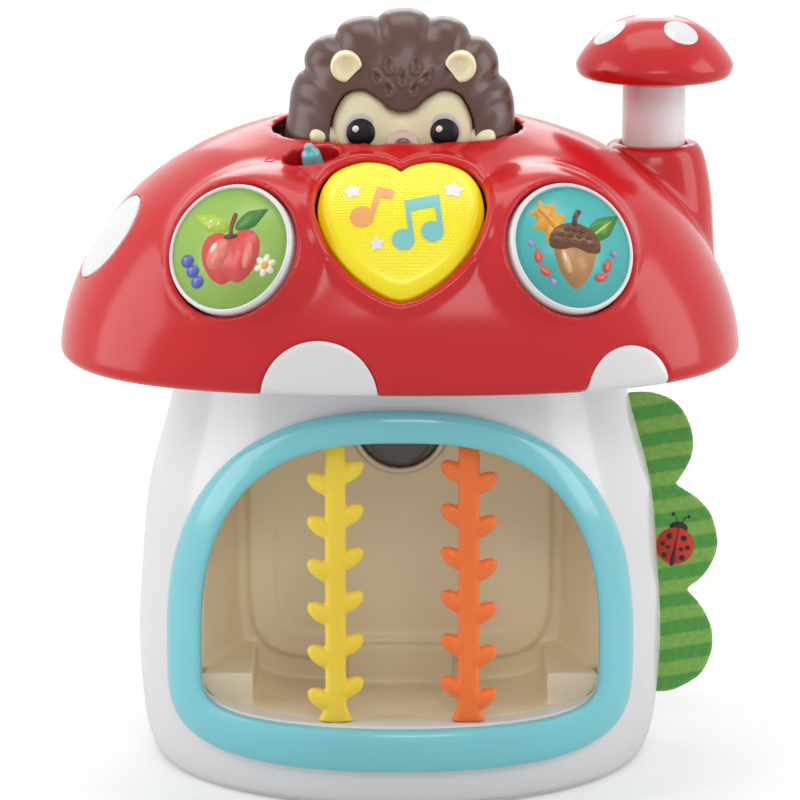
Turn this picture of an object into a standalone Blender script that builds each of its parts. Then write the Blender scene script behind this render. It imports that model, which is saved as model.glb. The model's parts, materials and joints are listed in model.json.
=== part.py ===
"""Surprise house toy: a toadstool house for babies.

A red cap sits on a white trunk. The cap holds a hedgehog that rises when the chimney plunger is
pressed, three press buttons and a slide switch. The trunk holds an open room with two strands.

World frame: origin at the middle of the base, +Z up, the doorway faces -Y, the chimney is at +X.
Numbers are in millimetres and MM turns them into Blender's metres.
"""

import math

import bmesh
import bpy
from mathutils import Matrix, Vector

MM = 0.001
GAP = 0.3

# Cap: height, half width, half depth, middle in Y, roundness of the outline
CAP_ROWS = (
    (146.6, 116.4, 80.6, 0.0, 2.6),
    (148.4, 118.9, 83.2, 0.0, 2.6),
    (151.5, 119.6, 84.0, 0.0, 2.6),
    (162.0, 117.7, 82.6, 0.0, 2.55),
    (175.0, 112.7, 79.0, 0.0, 2.45),
    (191.0, 103.2, 71.5, 0.0, 2.35),
    (206.0, 89.8, 61.5, 0.5, 2.25),
    (219.0, 72.0, 47.5, 4.5, 2.1),
    (226.0, 58.0, 34.0, 8.0, 2.0),
    (230.5, 46.0, 21.0, 10.0, 2.0),
    (233.0, 36.0, 12.0, 11.0, 2.0),
)
CAP_WALL = 2.6
CAP_SEGMENTS = 32
INNER_SEGMENTS = 22
CAP_FINE = range(3, 7)
SEAM_Y = 18.0

# Trunk: height, half width, half depth
TRUNK_ROWS = (
    (0.8, 85.5, 71.5),
    (3.5, 88.6, 74.5),
    (15.0, 91.7, 76.5),
    (42.0, 93.5, 78.0),
    (68.0, 92.1, 77.0),
    (98.0, 89.1, 74.5),
    (127.0, 81.5, 69.0),
    (146.3, 78.0, 66.5),
)
TRUNK_ROUNDNESS = 2.05
TRUNK_WALL = 2.4
TRUNK_SEGMENTS = 32
TRUNK_INNER_SEGMENTS = 26
TRUNK_FINE = range(3, 7)

# Doorway: a round arch over a nearly square foot, in the XZ plane
DOOR_WAIST_Z = 52.0
DOOR_INNER = {"half": 68.6, "up": 76.3, "down": 22.0, "top": 2.5, "foot": 6.5}
DOOR_OUTER = {"half": 81.4, "up": 86.9, "down": 37.5, "top": 2.3, "foot": 5.0}
DOOR_SILL = DOOR_WAIST_Z - DOOR_INNER["down"]
DOOR_SEGMENTS = 40
DOORWAY_CUT_SEGMENTS = 37
TURN_WEIGHT = 40.0
RING_HEIGHT = 5.2
RING_BACK = 0.8
LIP_DEPTH = 9.0
LIP_WALL = 2.0

# Room tub behind the doorway
TUB_WALL = 1.8
TUB_BACK_Y = -12.0
TUB_BACK_HALF = 57.0
TUB_BACK_FLOOR = 27.5
TUB_BACK_TOP = 139.0
WINDOW_Z = 121.5
WINDOW_RADIUS = 15.0

# Strands
STRAND_X = (-22.0, 23.5)
STRAND_SET_BACK = 6.2
STRAND_STEM = 3.6
STRAND_REACH = 9.8
STRAND_PITCH = 14.9
STRAND_LEAVES = 6

# Opening of the hedgehog
NEST_X = -1.0
NEST_Y = -8.0
NEST_HALF_WIDTH = 43.0
NEST_HALF_DEPTH = 22.5

# Chimney and plunger
CHIMNEY_X = 90.3
CHIMNEY_Y = 26.0
CHIMNEY_TOP = 215.7
TUBE_RADIUS = 11.2
KNOB_RADIUS = 27.8
KNOB_TOP = 261.0
KNOB_WIDEST = 243.0
PLUNGER_TRAVEL = 16.0
PLUNGER_FOOT_Z = 191.0

SPRING_TURNS = 7
SPRING_RADIUS = 6.6

# Hedgehog's head
HEAD_FOOT = 205.0
HEAD_MIDDLE = 227.0
HEAD_RADIUS = 41.3
HAIR_FRONT_Y = -22.1
TUFTS = 8
TUFT_DEPTH = 2.2
HAIR_WALL = 4.5
FACE_X = 0.8
FACE_Z = 222.0

# Tray under the cap
TRAY_TOP = 150.0
TRAY_INSET = 4.4

# Rocker lever
LEVER_X = 45.0
LEVER_Y = 13.0
LEVER_Z = 180.0
LEVER_ARM = 45.0
LEVER_THICKNESS = 5.0
LEVER_DIP = -0.4
LEVER_REST = math.asin(0.5 * PLUNGER_TRAVEL / LEVER_ARM)
CARRIER_SOLE = LEVER_Z - 0.5 * PLUNGER_TRAVEL + 0.5 * LEVER_THICKNESS + 0.5

# Round buttons and heart
BUTTON_RADIUS = 22.7
BUTTON_PLACES = {"left": (-56.4, -63.2, 193.2), "right": (57.2, -63.0, 193.6)}
BUTTON_AXES = {"left": (-0.39, -0.808, 0.44), "right": (0.39, -0.808, 0.44)}
PRINT_RADIUS = 19.6
COLLAR = ((21.0, -14.0), (21.0, -2.8), (25.6, -0.6), (28.6, -0.5), (31.6, -3.8), (35.6, -13.0),
          (35.6, -14.0))
HEART_PLACE = (0.3, -61.5, 199.5)
HEART_AXIS = (0.0, -0.758, 0.652)

# Slide switch
SLOT_PLACE = (-30.3, -34.5, 220.5)
SLOT_AXIS = (-0.22, -0.33, 0.92)
SLOT_LENGTH = 19.0
SLOT_WIDTH = 8.6

# White spots: place on the cap, direction of the insert, radius
SPOTS = {
    "front_left_spot": ((-27.0, -80.0, 146.0), (0.0, -1.0, 0.0), 19.6),
    "front_right_spot": ((74.6, -66.0, 146.6), (0.45, -0.89, 0.0), 15.2),
    "side_left_spot": ((-105.0, -8.0, 188.5), (-0.8, -0.14, 0.58), 17.5),
    "upper_left_spot": ((-71.0, 20.0, 216.0), (-0.4, 0.3, 0.87), 13.0),
    "rear_left_spot": ((-62.0, 66.0, 176.0), (-0.3, 0.9, 0.3), 16.0),
    "rear_right_spot": ((56.0, 72.0, 166.0), (0.2, 0.95, 0.2), 13.5),
}
SPOT_SEGMENTS = 18
SPOT_RISE = 0.3
SPOT_DEPTH = 1.8
SPOT_REACH = (-12.0, 14.0)

# Battery bay in the rear of the trunk
BAY_Z = 72.0
BAY_HALF_WIDTH = 24.0
BAY_HALF_HEIGHT = 29.5
CELL_RADIUS = 7.1
CELL_LENGTH = 50.0
DOOR_SCREW_RISE = 20.0
SPEAKER_Y = 64.5
SPEAKER_Z = 172.0
GRILLE_SLOTS = 5
GRILLE_PITCH = 6.4
GRILLE_WIDTH = 2.6

# Cloth bush in the right seam
BUSH_Y = 18.0
BUSH_X = 82.0
BUSH_CLEARANCE = 2.0
BUSH_THICKNESS = 2.0
BUSH_HINGE = ((93.2, 42.0), (88.7, 98.0))

RED = (0.60, 0.035, 0.038)
WHITE = (0.80, 0.80, 0.80)
SKY = (0.18, 0.53, 0.62)
CREAM = (0.55, 0.44, 0.31)
BROWN = (0.10, 0.035, 0.022)
FACE = (0.78, 0.68, 0.50)
YELLOW = (0.86, 0.80, 0.01)
GOLD = (0.82, 0.60, 0.05)
ORANGE = (0.80, 0.19, 0.05)
GREEN = (0.18, 0.38, 0.10)
DARK = (0.05, 0.05, 0.055)
BOARD = (0.03, 0.20, 0.08)
STEEL = (0.55, 0.55, 0.57)
GREY = (0.25, 0.25, 0.26)
TEAL = (0.09, 0.50, 0.50)


def clear_scene():
    for old in list(bpy.data.objects):
        bpy.data.objects.remove(old, do_unlink=True)


def material(name, colour, roughness=0.35, metallic=0.0):
    made = bpy.data.materials.get(name)
    if made is None:
        made = bpy.data.materials.new(name)
        made.use_nodes = True
        shader = made.node_tree.nodes["Principled BSDF"]
        shader.inputs["Base Color"].default_value = (*colour, 1.0)
        shader.inputs["Roughness"].default_value = roughness
        shader.inputs["Metallic"].default_value = metallic
    return made


def make_object(name, points, faces, look, frame=None, sharp=40.0):
    """A closed mesh from points in millimetres, placed by a frame in millimetres."""
    mesh = bpy.data.meshes.new(name)
    mesh.from_pydata([tuple(c * MM for c in p) for p in points], [], faces)
    work = bmesh.new()
    work.from_mesh(mesh)
    bmesh.ops.recalc_face_normals(work, faces=work.faces)
    work.to_mesh(mesh)
    work.free()
    mesh.shade_smooth()
    mesh.set_sharp_from_angle(angle=math.radians(sharp))
    made = bpy.data.objects.new(name, mesh)
    bpy.context.scene.collection.objects.link(made)
    if look is not None:
        mesh.materials.append(look)
    if frame is not None:
        place = frame.copy()
        place.translation = place.translation * MM
        made.matrix_world = place
    return made


def carry(name, frame, *pieces):
    """An empty on a joint's axis, which carries the pieces that move together."""
    joint = bpy.data.objects.new(name, None)
    bpy.context.scene.collection.objects.link(joint)
    place = frame.copy()
    place.translation = place.translation * MM
    joint.matrix_world = place
    for piece in pieces:
        piece.parent = joint
        piece.matrix_parent_inverse = place.inverted()


def boolean(target, tool, operation):
    tool.hide_render = True
    tool.display_type = "WIRE"
    step = target.modifiers.new(tool.name, "BOOLEAN")
    step.operation = operation
    step.object = tool
    step.solver = "EXACT"


def cut(target, *tools):
    for tool in tools:
        boolean(target, tool, "DIFFERENCE")


def fuse(target, *tools):
    for tool in tools:
        boolean(target, tool, "UNION")


def keep(target, tool):
    boolean(target, tool, "INTERSECT")


def frame_at(place, axis, level=(1.0, 0.0, 0.0)):
    """A frame whose Z is the given axis and whose X is as near level as the axis allows."""
    up = Vector(axis).normalized()
    side = Vector(level)
    side = (side - up * side.dot(up)).normalized()
    turn = Matrix((side, up.cross(side), up)).transposed().to_4x4()
    turn.translation = Vector(place)
    return turn


def smooth_rows(rows, parts, fine=range(99)):
    """Rows of numbers with a smooth curve through them, in parts pieces where it is fine."""
    found = []
    last = len(rows) - 1
    for i in range(last):
        before = rows[max(i - 1, 0)]
        here = rows[i]
        there = rows[i + 1]
        after = rows[min(i + 2, last)]
        count = parts if i in fine else 1
        for k in range(count):
            t = k / count
            found.append(tuple(
                0.5 * (2 * b + (c - a) * t + (2 * a - 5 * b + 4 * c - d) * t * t
                       + (3 * b - a - 3 * c + d) * t ** 3)
                for a, b, c, d in zip(before, here, there, after)))
    found.append(tuple(rows[last]))
    return found


def rounded(angle, half_x, half_y, power):
    """A point of a rounded outline between an ellipse (power 2) and a rectangle."""
    c = math.cos(angle)
    s = math.sin(angle)
    return (math.copysign(abs(c) ** (2.0 / power), c) * half_x,
            math.copysign(abs(s) ** (2.0 / power), s) * half_y)


def rounded_ring(half_x, half_y, power, count, middle=(0.0, 0.0)):
    ring = []
    for k in range(count):
        x, y = rounded(math.tau * (k + 0.5) / count, half_x, half_y, power)
        ring.append((x + middle[0], y + middle[1]))
    return ring


def loft(name, rings, look, frame=None, closed=False, sharp=40.0):
    """Skins a list of rings of equal length. An open loft gets a flat cap at both ends."""
    count = len(rings[0])
    points = [p for ring in rings for p in ring]
    faces = []
    steps = len(rings) if closed else len(rings) - 1
    for i in range(steps):
        here = i * count
        there = ((i + 1) % len(rings)) * count
        for k in range(count):
            n = (k + 1) % count
            faces.append((here + k, here + n, there + n, there + k))
    if not closed:
        faces.append(tuple(range(count)))
        faces.append(tuple(range(len(points) - count, len(points))))
    return make_object(name, points, faces, look, frame, sharp)


def turned(name, profile, look, frame=None, count=24, sharp=40.0):
    """A lathe body. The profile (radius, height) runs from axis to axis, or is a closed loop."""
    on_axis = profile[0][0] == 0.0
    points = []
    rings = []
    for radius, height in profile:
        start = len(points)
        if radius == 0.0:
            points.append((0.0, 0.0, height))
            rings.append([start] * count)
        else:
            for k in range(count):
                a = math.tau * k / count
                points.append((radius * math.cos(a), radius * math.sin(a), height))
            rings.append(list(range(start, start + count)))
    faces = []
    steps = len(rings) - 1 if on_axis else len(rings)
    for i in range(steps):
        here = rings[i]
        there = rings[(i + 1) % len(rings)]
        for k in range(count):
            n = (k + 1) % count
            corners = []
            for corner in (here[k], here[n], there[n], there[k]):
                if corner not in corners:
                    corners.append(corner)
            if len(corners) > 2:
                faces.append(tuple(corners))
    return make_object(name, points, faces, look, frame, sharp)


def prism(name, outline, low, high, look=None, frame=None, sharp=40.0):
    bottom = [(x, y, low) for x, y in outline]
    top = [(x, y, high) for x, y in outline]
    return loft(name, [bottom, top], look, frame, sharp=sharp)


def block(name, low, high, look=None, frame=None):
    outline = ((low[0], low[1]), (high[0], low[1]), (high[0], high[1]), (low[0], high[1]))
    return prism(name, outline, low[2], high[2], look, frame)


def inset_rows(rows, depth):
    """Moves a stack of outlines inwards by depth, square to its side and front profiles."""
    moved = []
    for i, row in enumerate(rows):
        low = rows[max(i - 1, 0)]
        high = rows[min(i + 1, len(rows) - 1)]
        rise = high[0] - low[0]
        side = high[1] - low[1]
        front = high[2] - low[2]
        side_length = math.hypot(rise, side)
        front_length = math.hypot(rise, front)
        lift = 0.5 * (side / side_length + front / front_length)
        moved.append((row[0] + depth * lift, row[1] - depth * rise / side_length,
                      row[2] - depth * rise / front_length, *row[3:]))
    return moved


def cap_ring(row, count=CAP_SEGMENTS):
    height, half_x, half_y, middle, power = row
    return [(x, y, height) for x, y in rounded_ring(half_x, half_y, power, count, (0.0, middle))]


def cap_surface_rows():
    return smooth_rows(CAP_ROWS, 2, CAP_FINE)


def dome(name, depth, bottom):
    """The solid inside the cap's surface, moved inwards by depth, with its foot at bottom."""
    rows = [row for row in inset_rows(CAP_ROWS, depth) if row[0] > bottom + 0.5]
    foot = (bottom, *rows[0][1:])
    return loft(name, [cap_ring(row, INNER_SEGMENTS) for row in [foot, *rows]], None)


def proud_dome(name, rise, count=CAP_SEGMENTS):
    """The solid inside the cap's surface, moved outwards by rise."""
    rows = inset_rows(cap_surface_rows(), -rise)
    return loft(name, [cap_ring(row, count) for row in rows], None)


def chimney_frame():
    return frame_at((CHIMNEY_X, CHIMNEY_Y, 0.0), (0, 0, 1))


def chimney(name):
    """The chimney's outer body, which widens downwards and has a rolled top edge."""
    profile = [(0.0, 168.0), (23.0, 168.0), (21.4, 176.0), (19.6, 193.0), (17.8, 207.0),
               (17.0, CHIMNEY_TOP - 2.2), (15.8, CHIMNEY_TOP - 0.5), (14.4, CHIMNEY_TOP),
               (0.0, CHIMNEY_TOP)]
    return turned(name, profile, None, chimney_frame(), 22)


def chimney_bore(name):
    """The hollow of the chimney: a close hole for the tube, then a wider room below it."""
    hole = TUBE_RADIUS + 0.8
    profile = [(0.0, 168.0), (18.4, 168.0), (16.9, 193.0), (14.6, 211.5), (hole, 212.4),
               (hole, 220.0), (0.0, 220.0)]
    return turned(name, profile, None, chimney_frame(), 20)


def heart_outline(grow=0.0):
    """Half a heart from the cleft round to the tip, then its mirror image."""
    half = ((0.0, 23.3), (4.5, 26.6), (12.6, 28.2), (21.0, 25.4), (27.0, 17.6), (28.3, 8.0),
            (25.6, -2.5), (18.5, -13.5), (9.5, -23.2), (3.2, -28.0), (0.0, -28.8))
    smooth = smooth_rows(half, 2, range(1, 7))
    whole = smooth + [(-x, y) for x, y in reversed(smooth[1:-1])]
    spread = 1.0 + grow / 27.0
    return [(x * spread, y * spread) for x, y in whole]


def stadium(length, width, count=7):
    """A slot outline with half round ends, along X."""
    radius = 0.5 * width
    reach = 0.5 * length - radius
    points = []
    for side in (1, -1):
        for k in range(count):
            a = -0.5 * math.pi + math.pi * k / (count - 1)
            points.append((side * (reach + radius * math.cos(a)), side * radius * math.sin(a)))
    return points


def button_frame(side):
    return frame_at(BUTTON_PLACES[side], BUTTON_AXES[side])


def heart_frame():
    return frame_at(HEART_PLACE, HEART_AXIS)


def slot_frame():
    return frame_at(SLOT_PLACE, SLOT_AXIS)


def nest_outline(grow=0.0):
    return rounded_ring(NEST_HALF_WIDTH + grow, NEST_HALF_DEPTH + grow, 2.1, 36, (NEST_X, NEST_Y))


def spot_prism(name, label, grow, look=None):
    """A white spot's outline, run through the cap's wall."""
    place, axis, radius = SPOTS[name]
    outline = rounded_ring(radius + grow, radius + grow, 2.0, SPOT_SEGMENTS)
    return prism(label, outline, *SPOT_REACH, look, frame_at(place, axis))


def build_cap_half(name, low_y, high_y, spots, collars, tools):
    """One shell of the cap: the hollow dome with its chimney and holes, cut off at the seam."""
    rings = [cap_ring(row) for row in cap_surface_rows()]
    shell = loft(name, rings, material("red plastic", RED, 0.2))
    fuse(shell, chimney(name + " chimney"), *collars)
    cut(shell, dome(name + " hollow", CAP_WALL, 140.0), chimney_bore(name + " bore"), *tools)
    for spot in spots:
        cut(shell, spot_prism(spot, spot + " seat", GAP))
    keep(shell, block(name + " half", (-150, low_y, 100), (150, high_y, 300)))
    return shell


def build_cap():
    """Front and rear shells of the cap, which meet at the seam."""
    tools = [prism("nest hole", nest_outline(), 200.0, 260.0),
             prism("heart hole", heart_outline(GAP + 0.3), -16.0, 10.0, None, heart_frame()),
             prism("slot hole", stadium(SLOT_LENGTH, SLOT_WIDTH), -9.0, 6.0, None, slot_frame())]
    for side in BUTTON_PLACES:
        hole = BUTTON_RADIUS + 0.4
        profile = [(0.0, -14.0), (hole, -14.0), (hole, -1.6), (hole + 1.6, -0.6),
                   (hole + 3.4, 1.6), (hole + 7.0, 9.0), (0.0, 9.0)]
        tools.append(turned(side + " moat", profile, None, button_frame(side), 24))
    collars = [turned(side + " collar", COLLAR, None, button_frame(side), 26) for side in BUTTON_PLACES]
    front_spots = [name for name in SPOTS if not name.startswith("rear")]
    rear_spots = [name for name in SPOTS if name.startswith(("rear", "upper"))]
    build_cap_half("front_cap_shell", -120.0, SEAM_Y - 0.5 * GAP, front_spots, collars, tools)
    build_cap_half("rear_cap_shell", SEAM_Y + 0.5 * GAP, 120.0, rear_spots, [], grille_slots())


def grille_slots():
    """Upright slots in front of the loudspeaker, shorter towards the sides."""
    slots = []
    middle = 0.5 * (GRILLE_SLOTS - 1)
    for k in range(GRILLE_SLOTS):
        x = (k - middle) * GRILLE_PITCH
        half = 12.0 - 1.6 * abs(k - middle)
        slots.append(block("grille slot", (x - 0.5 * GRILLE_WIDTH, 68.0, SPEAKER_Z - half),
                           (x + 0.5 * GRILLE_WIDTH, 100.0, SPEAKER_Z + half)))
    return slots


def build_cap_tray():
    """The flat underside of the cap, which closes its mechanism in."""
    rim = CAP_ROWS[0]
    outline = rounded_ring(rim[1] - TRAY_INSET, rim[2] - TRAY_INSET, rim[4], CAP_SEGMENTS)
    tray = prism("cap_tray", outline, TRAY_TOP - 2.6, TRAY_TOP, material("white plastic", WHITE, 0.3))
    vent = prism("wire hole", stadium(24.0, 9.0), 140.0, 160.0, None,
                 frame_at((0.0, 45.0, 0.0), (0, 0, 1)))
    cut(tray, vent)


def build_spots():
    look = material("white gloss plastic", WHITE, 0.2)
    for name in SPOTS:
        spot = spot_prism(name, name, 0.0, look)
        keep(spot, proud_dome(name + " skin", SPOT_RISE))
        cut(spot, dome(name + " back", SPOT_DEPTH, 140.0))


def trunk_size(height):
    """Half width and half depth of the trunk at a height."""
    rows = smooth_rows(TRUNK_ROWS, 2, TRUNK_FINE)
    for low, high in zip(rows, rows[1:]):
        if height <= high[0]:
            break
    share = min(max((height - low[0]) / (high[0] - low[0]), 0.0), 1.0)
    return (low[1] + (high[1] - low[1]) * share, low[2] + (high[2] - low[2]) * share)


def trunk_front(x, z):
    """Y of the trunk's front surface above a point of the XZ plane."""
    half_x, half_y = trunk_size(z)
    share = min(abs(x) / half_x, 0.999) ** TRUNK_ROUNDNESS
    return -half_y * (1.0 - share) ** (1.0 / TRUNK_ROUNDNESS)


def trunk_side(y, z):
    """X of the trunk's right surface above a point of the YZ plane."""
    half_x, half_y = trunk_size(z)
    return half_x * (1.0 - (abs(y) / half_y) ** TRUNK_ROUNDNESS) ** (1.0 / TRUNK_ROUNDNESS)


def trunk_solid(name, depth, low, high, parts, look=None, count=TRUNK_SEGMENTS):
    rows = [row for row in inset_rows(smooth_rows(TRUNK_ROWS, parts, TRUNK_FINE), depth)
            if low + 0.5 < row[0] < high - 0.5]
    rows = [(low, *rows[0][1:]), *rows, (high, *rows[-1][1:])]
    rings = [[(x, y, row[0]) for x, y in rounded_ring(row[1], row[2], TRUNK_ROUNDNESS, count)]
             for row in rows]
    return loft(name, rings, look)


def door_point(angle, spec, grow=0.0):
    """A point (x, z) of the doorway's outline."""
    height, power = (spec["up"], spec["top"]) if math.sin(angle) > 0 else (spec["down"], spec["foot"])
    x, z = rounded(angle, spec["half"] + grow, height + grow, power)
    return x, z + DOOR_WAIST_Z


def door_path(spec, grow=0.0, count=DOOR_SEGMENTS):
    """The doorway's outline from the middle of the sill, closer points where it turns faster."""
    fine = 720
    points = [door_point(math.tau * (k / fine - 0.25), spec, grow) for k in range(fine + 1)]
    travel = [0.0]
    heading = 0.0
    for (x0, z0), (x1, z1) in zip(points, points[1:]):
        turn = math.atan2(z1 - z0, x1 - x0) - heading
        turn = abs((turn + math.pi) % math.tau - math.pi)
        heading = math.atan2(z1 - z0, x1 - x0)
        travel.append(travel[-1] + math.hypot(x1 - x0, z1 - z0) + TURN_WEIGHT * turn)
    path = []
    step = 0
    for k in range(count):
        target = travel[-1] * (k + 0.5) / count
        while travel[step + 1] < target:
            step += 1
        share = (target - travel[step]) / (travel[step + 1] - travel[step])
        path.append(tuple(a + (b - a) * share for a, b in zip(points[step], points[step + 1])))
    return path


def door_prism(name, grow, low_y, high_y):
    """The doorway as a straight cutter along Y."""
    outline = door_path(DOOR_INNER, grow, DOORWAY_CUT_SEGMENTS)
    return loft(name, [[(x, y, z) for x, z in outline] for y in (low_y, high_y)], None)


def build_trunk():
    look = material("white plastic", WHITE, 0.3)
    top = TRUNK_ROWS[-1][0]
    foot = TRUNK_ROWS[0][0]
    shells = []
    for name, low_y, high_y in (("front_trunk_shell", -120.0, SEAM_Y - 0.5 * GAP),
                                ("rear_trunk_shell", SEAM_Y + 0.5 * GAP, 120.0)):
        shell = trunk_solid(name, 0.0, foot, top, 2, look)
        cut(shell, trunk_solid(name + " hollow", TRUNK_WALL, -5.0, top - 2.2, 1, None,
                               TRUNK_INNER_SEGMENTS))
        keep(shell, block(name + " half", (-150, low_y, -10), (150, high_y, 200)))
        notch = block(name + " bush notch", (70.0, BUSH_Y - 1.7, 24.0), (110.0, BUSH_Y + 1.7, 126.0))
        cut(shell, notch)
        shells.append(shell)
    front, rear = shells
    sleeve = []
    for inner, outer in zip(door_path(DOOR_INNER), door_path(DOOR_INNER, LIP_WALL)):
        sleeve.append([(x, trunk_front(x, z) + depth, z) for (x, z), depth in (
            (inner, 1.3), (outer, 1.3), (outer, LIP_DEPTH), (inner, LIP_DEPTH))])
    cut(front, door_prism("doorway", 0.5 * LIP_WALL, -110.0, -30.0))
    fuse(front, loft("doorway sleeve", sleeve, None, closed=True))
    for x in STRAND_X:
        for z in (DOOR_SILL, door_head(x)):
            cut(front, turned("strand hole", [(0.0, -9.0), (2.3, -9.0), (2.3, 9.0), (0.0, 9.0)], None,
                              frame_at((x, strand_y(x, z), z), (0, 0, 1)), 10))
    cut(rear, battery_door_prism("door opening", GAP, 40.0, 110.0))
    for x in (-62.0, 62.0):
        cut(rear, case_screw_hole((x, 60.0, 28.0)))


def build_ring():
    """The doorway ring: a bar with a flat back and a round crown that follows the trunk."""
    section = ((0.0, RING_BACK), (0.0, 2.4), (0.15, 4.4), (0.5, RING_HEIGHT), (0.85, 4.4),
               (1.0, 2.4), (1.0, RING_BACK), (0.5, RING_BACK))
    rings = []
    for inner, outer in zip(door_path(DOOR_INNER), door_path(DOOR_OUTER)):
        ring = []
        for share, height in section:
            x = inner[0] + (outer[0] - inner[0]) * share
            z = inner[1] + (outer[1] - inner[1]) * share
            ring.append((x, trunk_front(x, z) - height, z))
        rings.append(ring)
    loft("doorway_ring", rings, material("sky blue plastic", SKY, 0.25), closed=True)


def room_ring(half_x, low, high, y, power, count):
    """A rounded rectangle in the XZ plane, from the middle of its foot like the doorway."""
    middle = 0.5 * (low + high)
    points = []
    for k in range(count):
        angle = math.tau * ((k + 0.5) / count - 0.25)
        x, z = rounded(angle, half_x, 0.5 * (high - low), power)
        points.append((x, y, z + middle))
    return points


def build_room():
    """The tub behind the doorway: slanted walls, side ledges and a back wall with a raised panel."""
    count = 28
    mouth = door_path(DOOR_INNER, 0.0, count)
    outer_mouth = door_path(DOOR_INNER, TUB_WALL, count)
    start = LIP_DEPTH + GAP
    front = [(x, trunk_front(x, z) + start, z) for x, z in outer_mouth]
    back = room_ring(TUB_BACK_HALF + TUB_WALL, TUB_BACK_FLOOR - TUB_WALL, TUB_BACK_TOP + TUB_WALL,
                     TUB_BACK_Y, 6.0, count)
    tub = loft("room_tub", [front, back], material("cream plastic", CREAM, 0.4))
    inner_y = TUB_BACK_Y - TUB_WALL
    ahead = [(x, -100.0, z) for x, z in mouth]
    inner_front = [(x, trunk_front(x, z) + start - 0.6, z) for x, z in mouth]
    room = loft("room space", [
        ahead,
        inner_front,
        room_ring(TUB_BACK_HALF, TUB_BACK_FLOOR, TUB_BACK_TOP, inner_y, 6.0, count),
        room_ring(54.5, 35.0, 137.0, inner_y, 6.0, count),
        room_ring(53.0, 36.5, 136.0, inner_y - 2.2, 6.0, count),
        room_ring(44.5, 45.0, 134.0, inner_y - 2.2, 8.0, count),
        room_ring(44.0, 45.5, 133.5, inner_y - 1.2, 8.0, count),
    ], None)
    for side in (-1, 1):
        low_x, high_x = sorted((side * 51.0, side * 80.0))
        cut(room, block("room ledge", (low_x, -52.0, 15.0), (high_x, 0.0, 42.0)))
    cut(room, block("room step", (-19.0, inner_y - 5.0, 15.0), (19.0, 0.0, 42.0)))
    cut(tub, room)
    window_frame = frame_at((0.0, TUB_BACK_Y, WINDOW_Z), (0, -1, 0))
    rim = WINDOW_RADIUS + 2.0
    seat = [(0.0, 0.7), (rim + GAP, 0.7), (rim + GAP, 12.0), (0.0, 12.0)]
    cut(tub, turned("window seat", seat, None, window_frame, 22))
    bezel = [(WINDOW_RADIUS + GAP, 1.0), (rim, 1.0), (rim, 4.6), (rim - 0.8, 5.4),
             (WINDOW_RADIUS + GAP, 4.8)]
    turned("window_bezel", bezel, material("light bezel", (0.70, 0.66, 0.60), 0.3), window_frame, 22)
    pane = [(0.0, 1.0), (WINDOW_RADIUS, 1.0), (WINDOW_RADIUS, 3.6), (WINDOW_RADIUS - 1.0, 4.2),
            (0.0, 4.6)]
    turned("room_window", pane, material("smoked plastic", DARK, 0.15), window_frame, 20)


def leaf_reach(height, tip):
    """How far a leaf stands out from the stem at a height, for a leaf whose tip is at tip."""
    profile = ((-7.6, 0.0), (-4.6, 1.6), (-2.2, 4.2), (0.0, 6.2), (1.6, 5.9), (2.7, 4.2), (3.1, 0.0))
    below = height - tip
    for low, high in zip(profile, profile[1:]):
        if low[0] <= below <= high[0]:
            share = (below - low[0]) / (high[0] - low[0])
            return low[1] + (high[1] - low[1]) * share
    return 0.0


def build_strand(name, x, look, first_left):
    """A soft strand held between the sill and the head of the doorway, with paired round leaves."""
    sill = DOOR_SILL + GAP
    head = door_head(abs(x) + STRAND_STEM) - GAP
    left_tips = [first_left + STRAND_PITCH * i for i in range(STRAND_LEAVES)]
    right_tips = [tip + (4.0 if first_left < 42.0 else -4.0) for tip in left_tips]
    levels = {sill + 2.0, sill + 4.5, head - 2.0}
    for tip in left_tips + right_tips:
        levels.update(tip + step for step in (-7.6, -2.2, 0.4, 3.1))
    rings = [strand_ring(x, sill - 4.0, 2.6, 2.6, 2.4), strand_ring(x, sill - 2.7, 2.6, 2.6, 2.4)]
    rings += [strand_ring(x, sill - 2.6, 1.8, 1.8, 1.8), strand_ring(x, sill - 0.1, 1.8, 1.8, 1.8)]
    rings.append(strand_ring(x, sill, 6.2, 6.2, 3.2))
    for z in sorted(levels):
        if not sill < z < head:
            continue
        flare = 2.2 * max(0.0, 1.0 - (z - sill) / 4.6) ** 2
        left = STRAND_STEM + flare + max(leaf_reach(z, tip) for tip in left_tips)
        right = STRAND_STEM + flare + max(leaf_reach(z, tip) for tip in right_tips)
        rings.append(strand_ring(x, z, left, right, 2.5))
    rings.append(strand_ring(x, head, STRAND_STEM, STRAND_STEM, 2.5))
    rings += [strand_ring(x, head + 0.1, 1.8, 1.8, 1.8), strand_ring(x, head + 4.0, 1.8, 1.8, 1.8)]
    loft(name, rings, look, sharp=60.0)


def door_head(x):
    """Height of the doorway's arch above a point of the sill."""
    share = (abs(x) / DOOR_INNER["half"]) ** DOOR_INNER["top"]
    return DOOR_WAIST_Z + DOOR_INNER["up"] * (1.0 - share) ** (1.0 / DOOR_INNER["top"])


def strand_y(x, z):
    """A strand leans back with the trunk's front, a little way behind it."""
    low = trunk_front(x, DOOR_SILL)
    high = trunk_front(x, door_head(x))
    share = (z - DOOR_SILL) / (door_head(x) - DOOR_SILL)
    return low + (high - low) * share + STRAND_SET_BACK


def strand_ring(x, z, left, right, deep):
    """A flat six-sided section of a strand."""
    edge = min(1.6, 0.45 * min(left, right))
    y = strand_y(x, z)
    return [(x - left, y, z), (x - left + edge, y - deep, z), (x + right - edge, y - deep, z),
            (x + right, y, z), (x + right - edge, y + deep, z), (x - left + edge, y + deep, z)]


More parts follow.
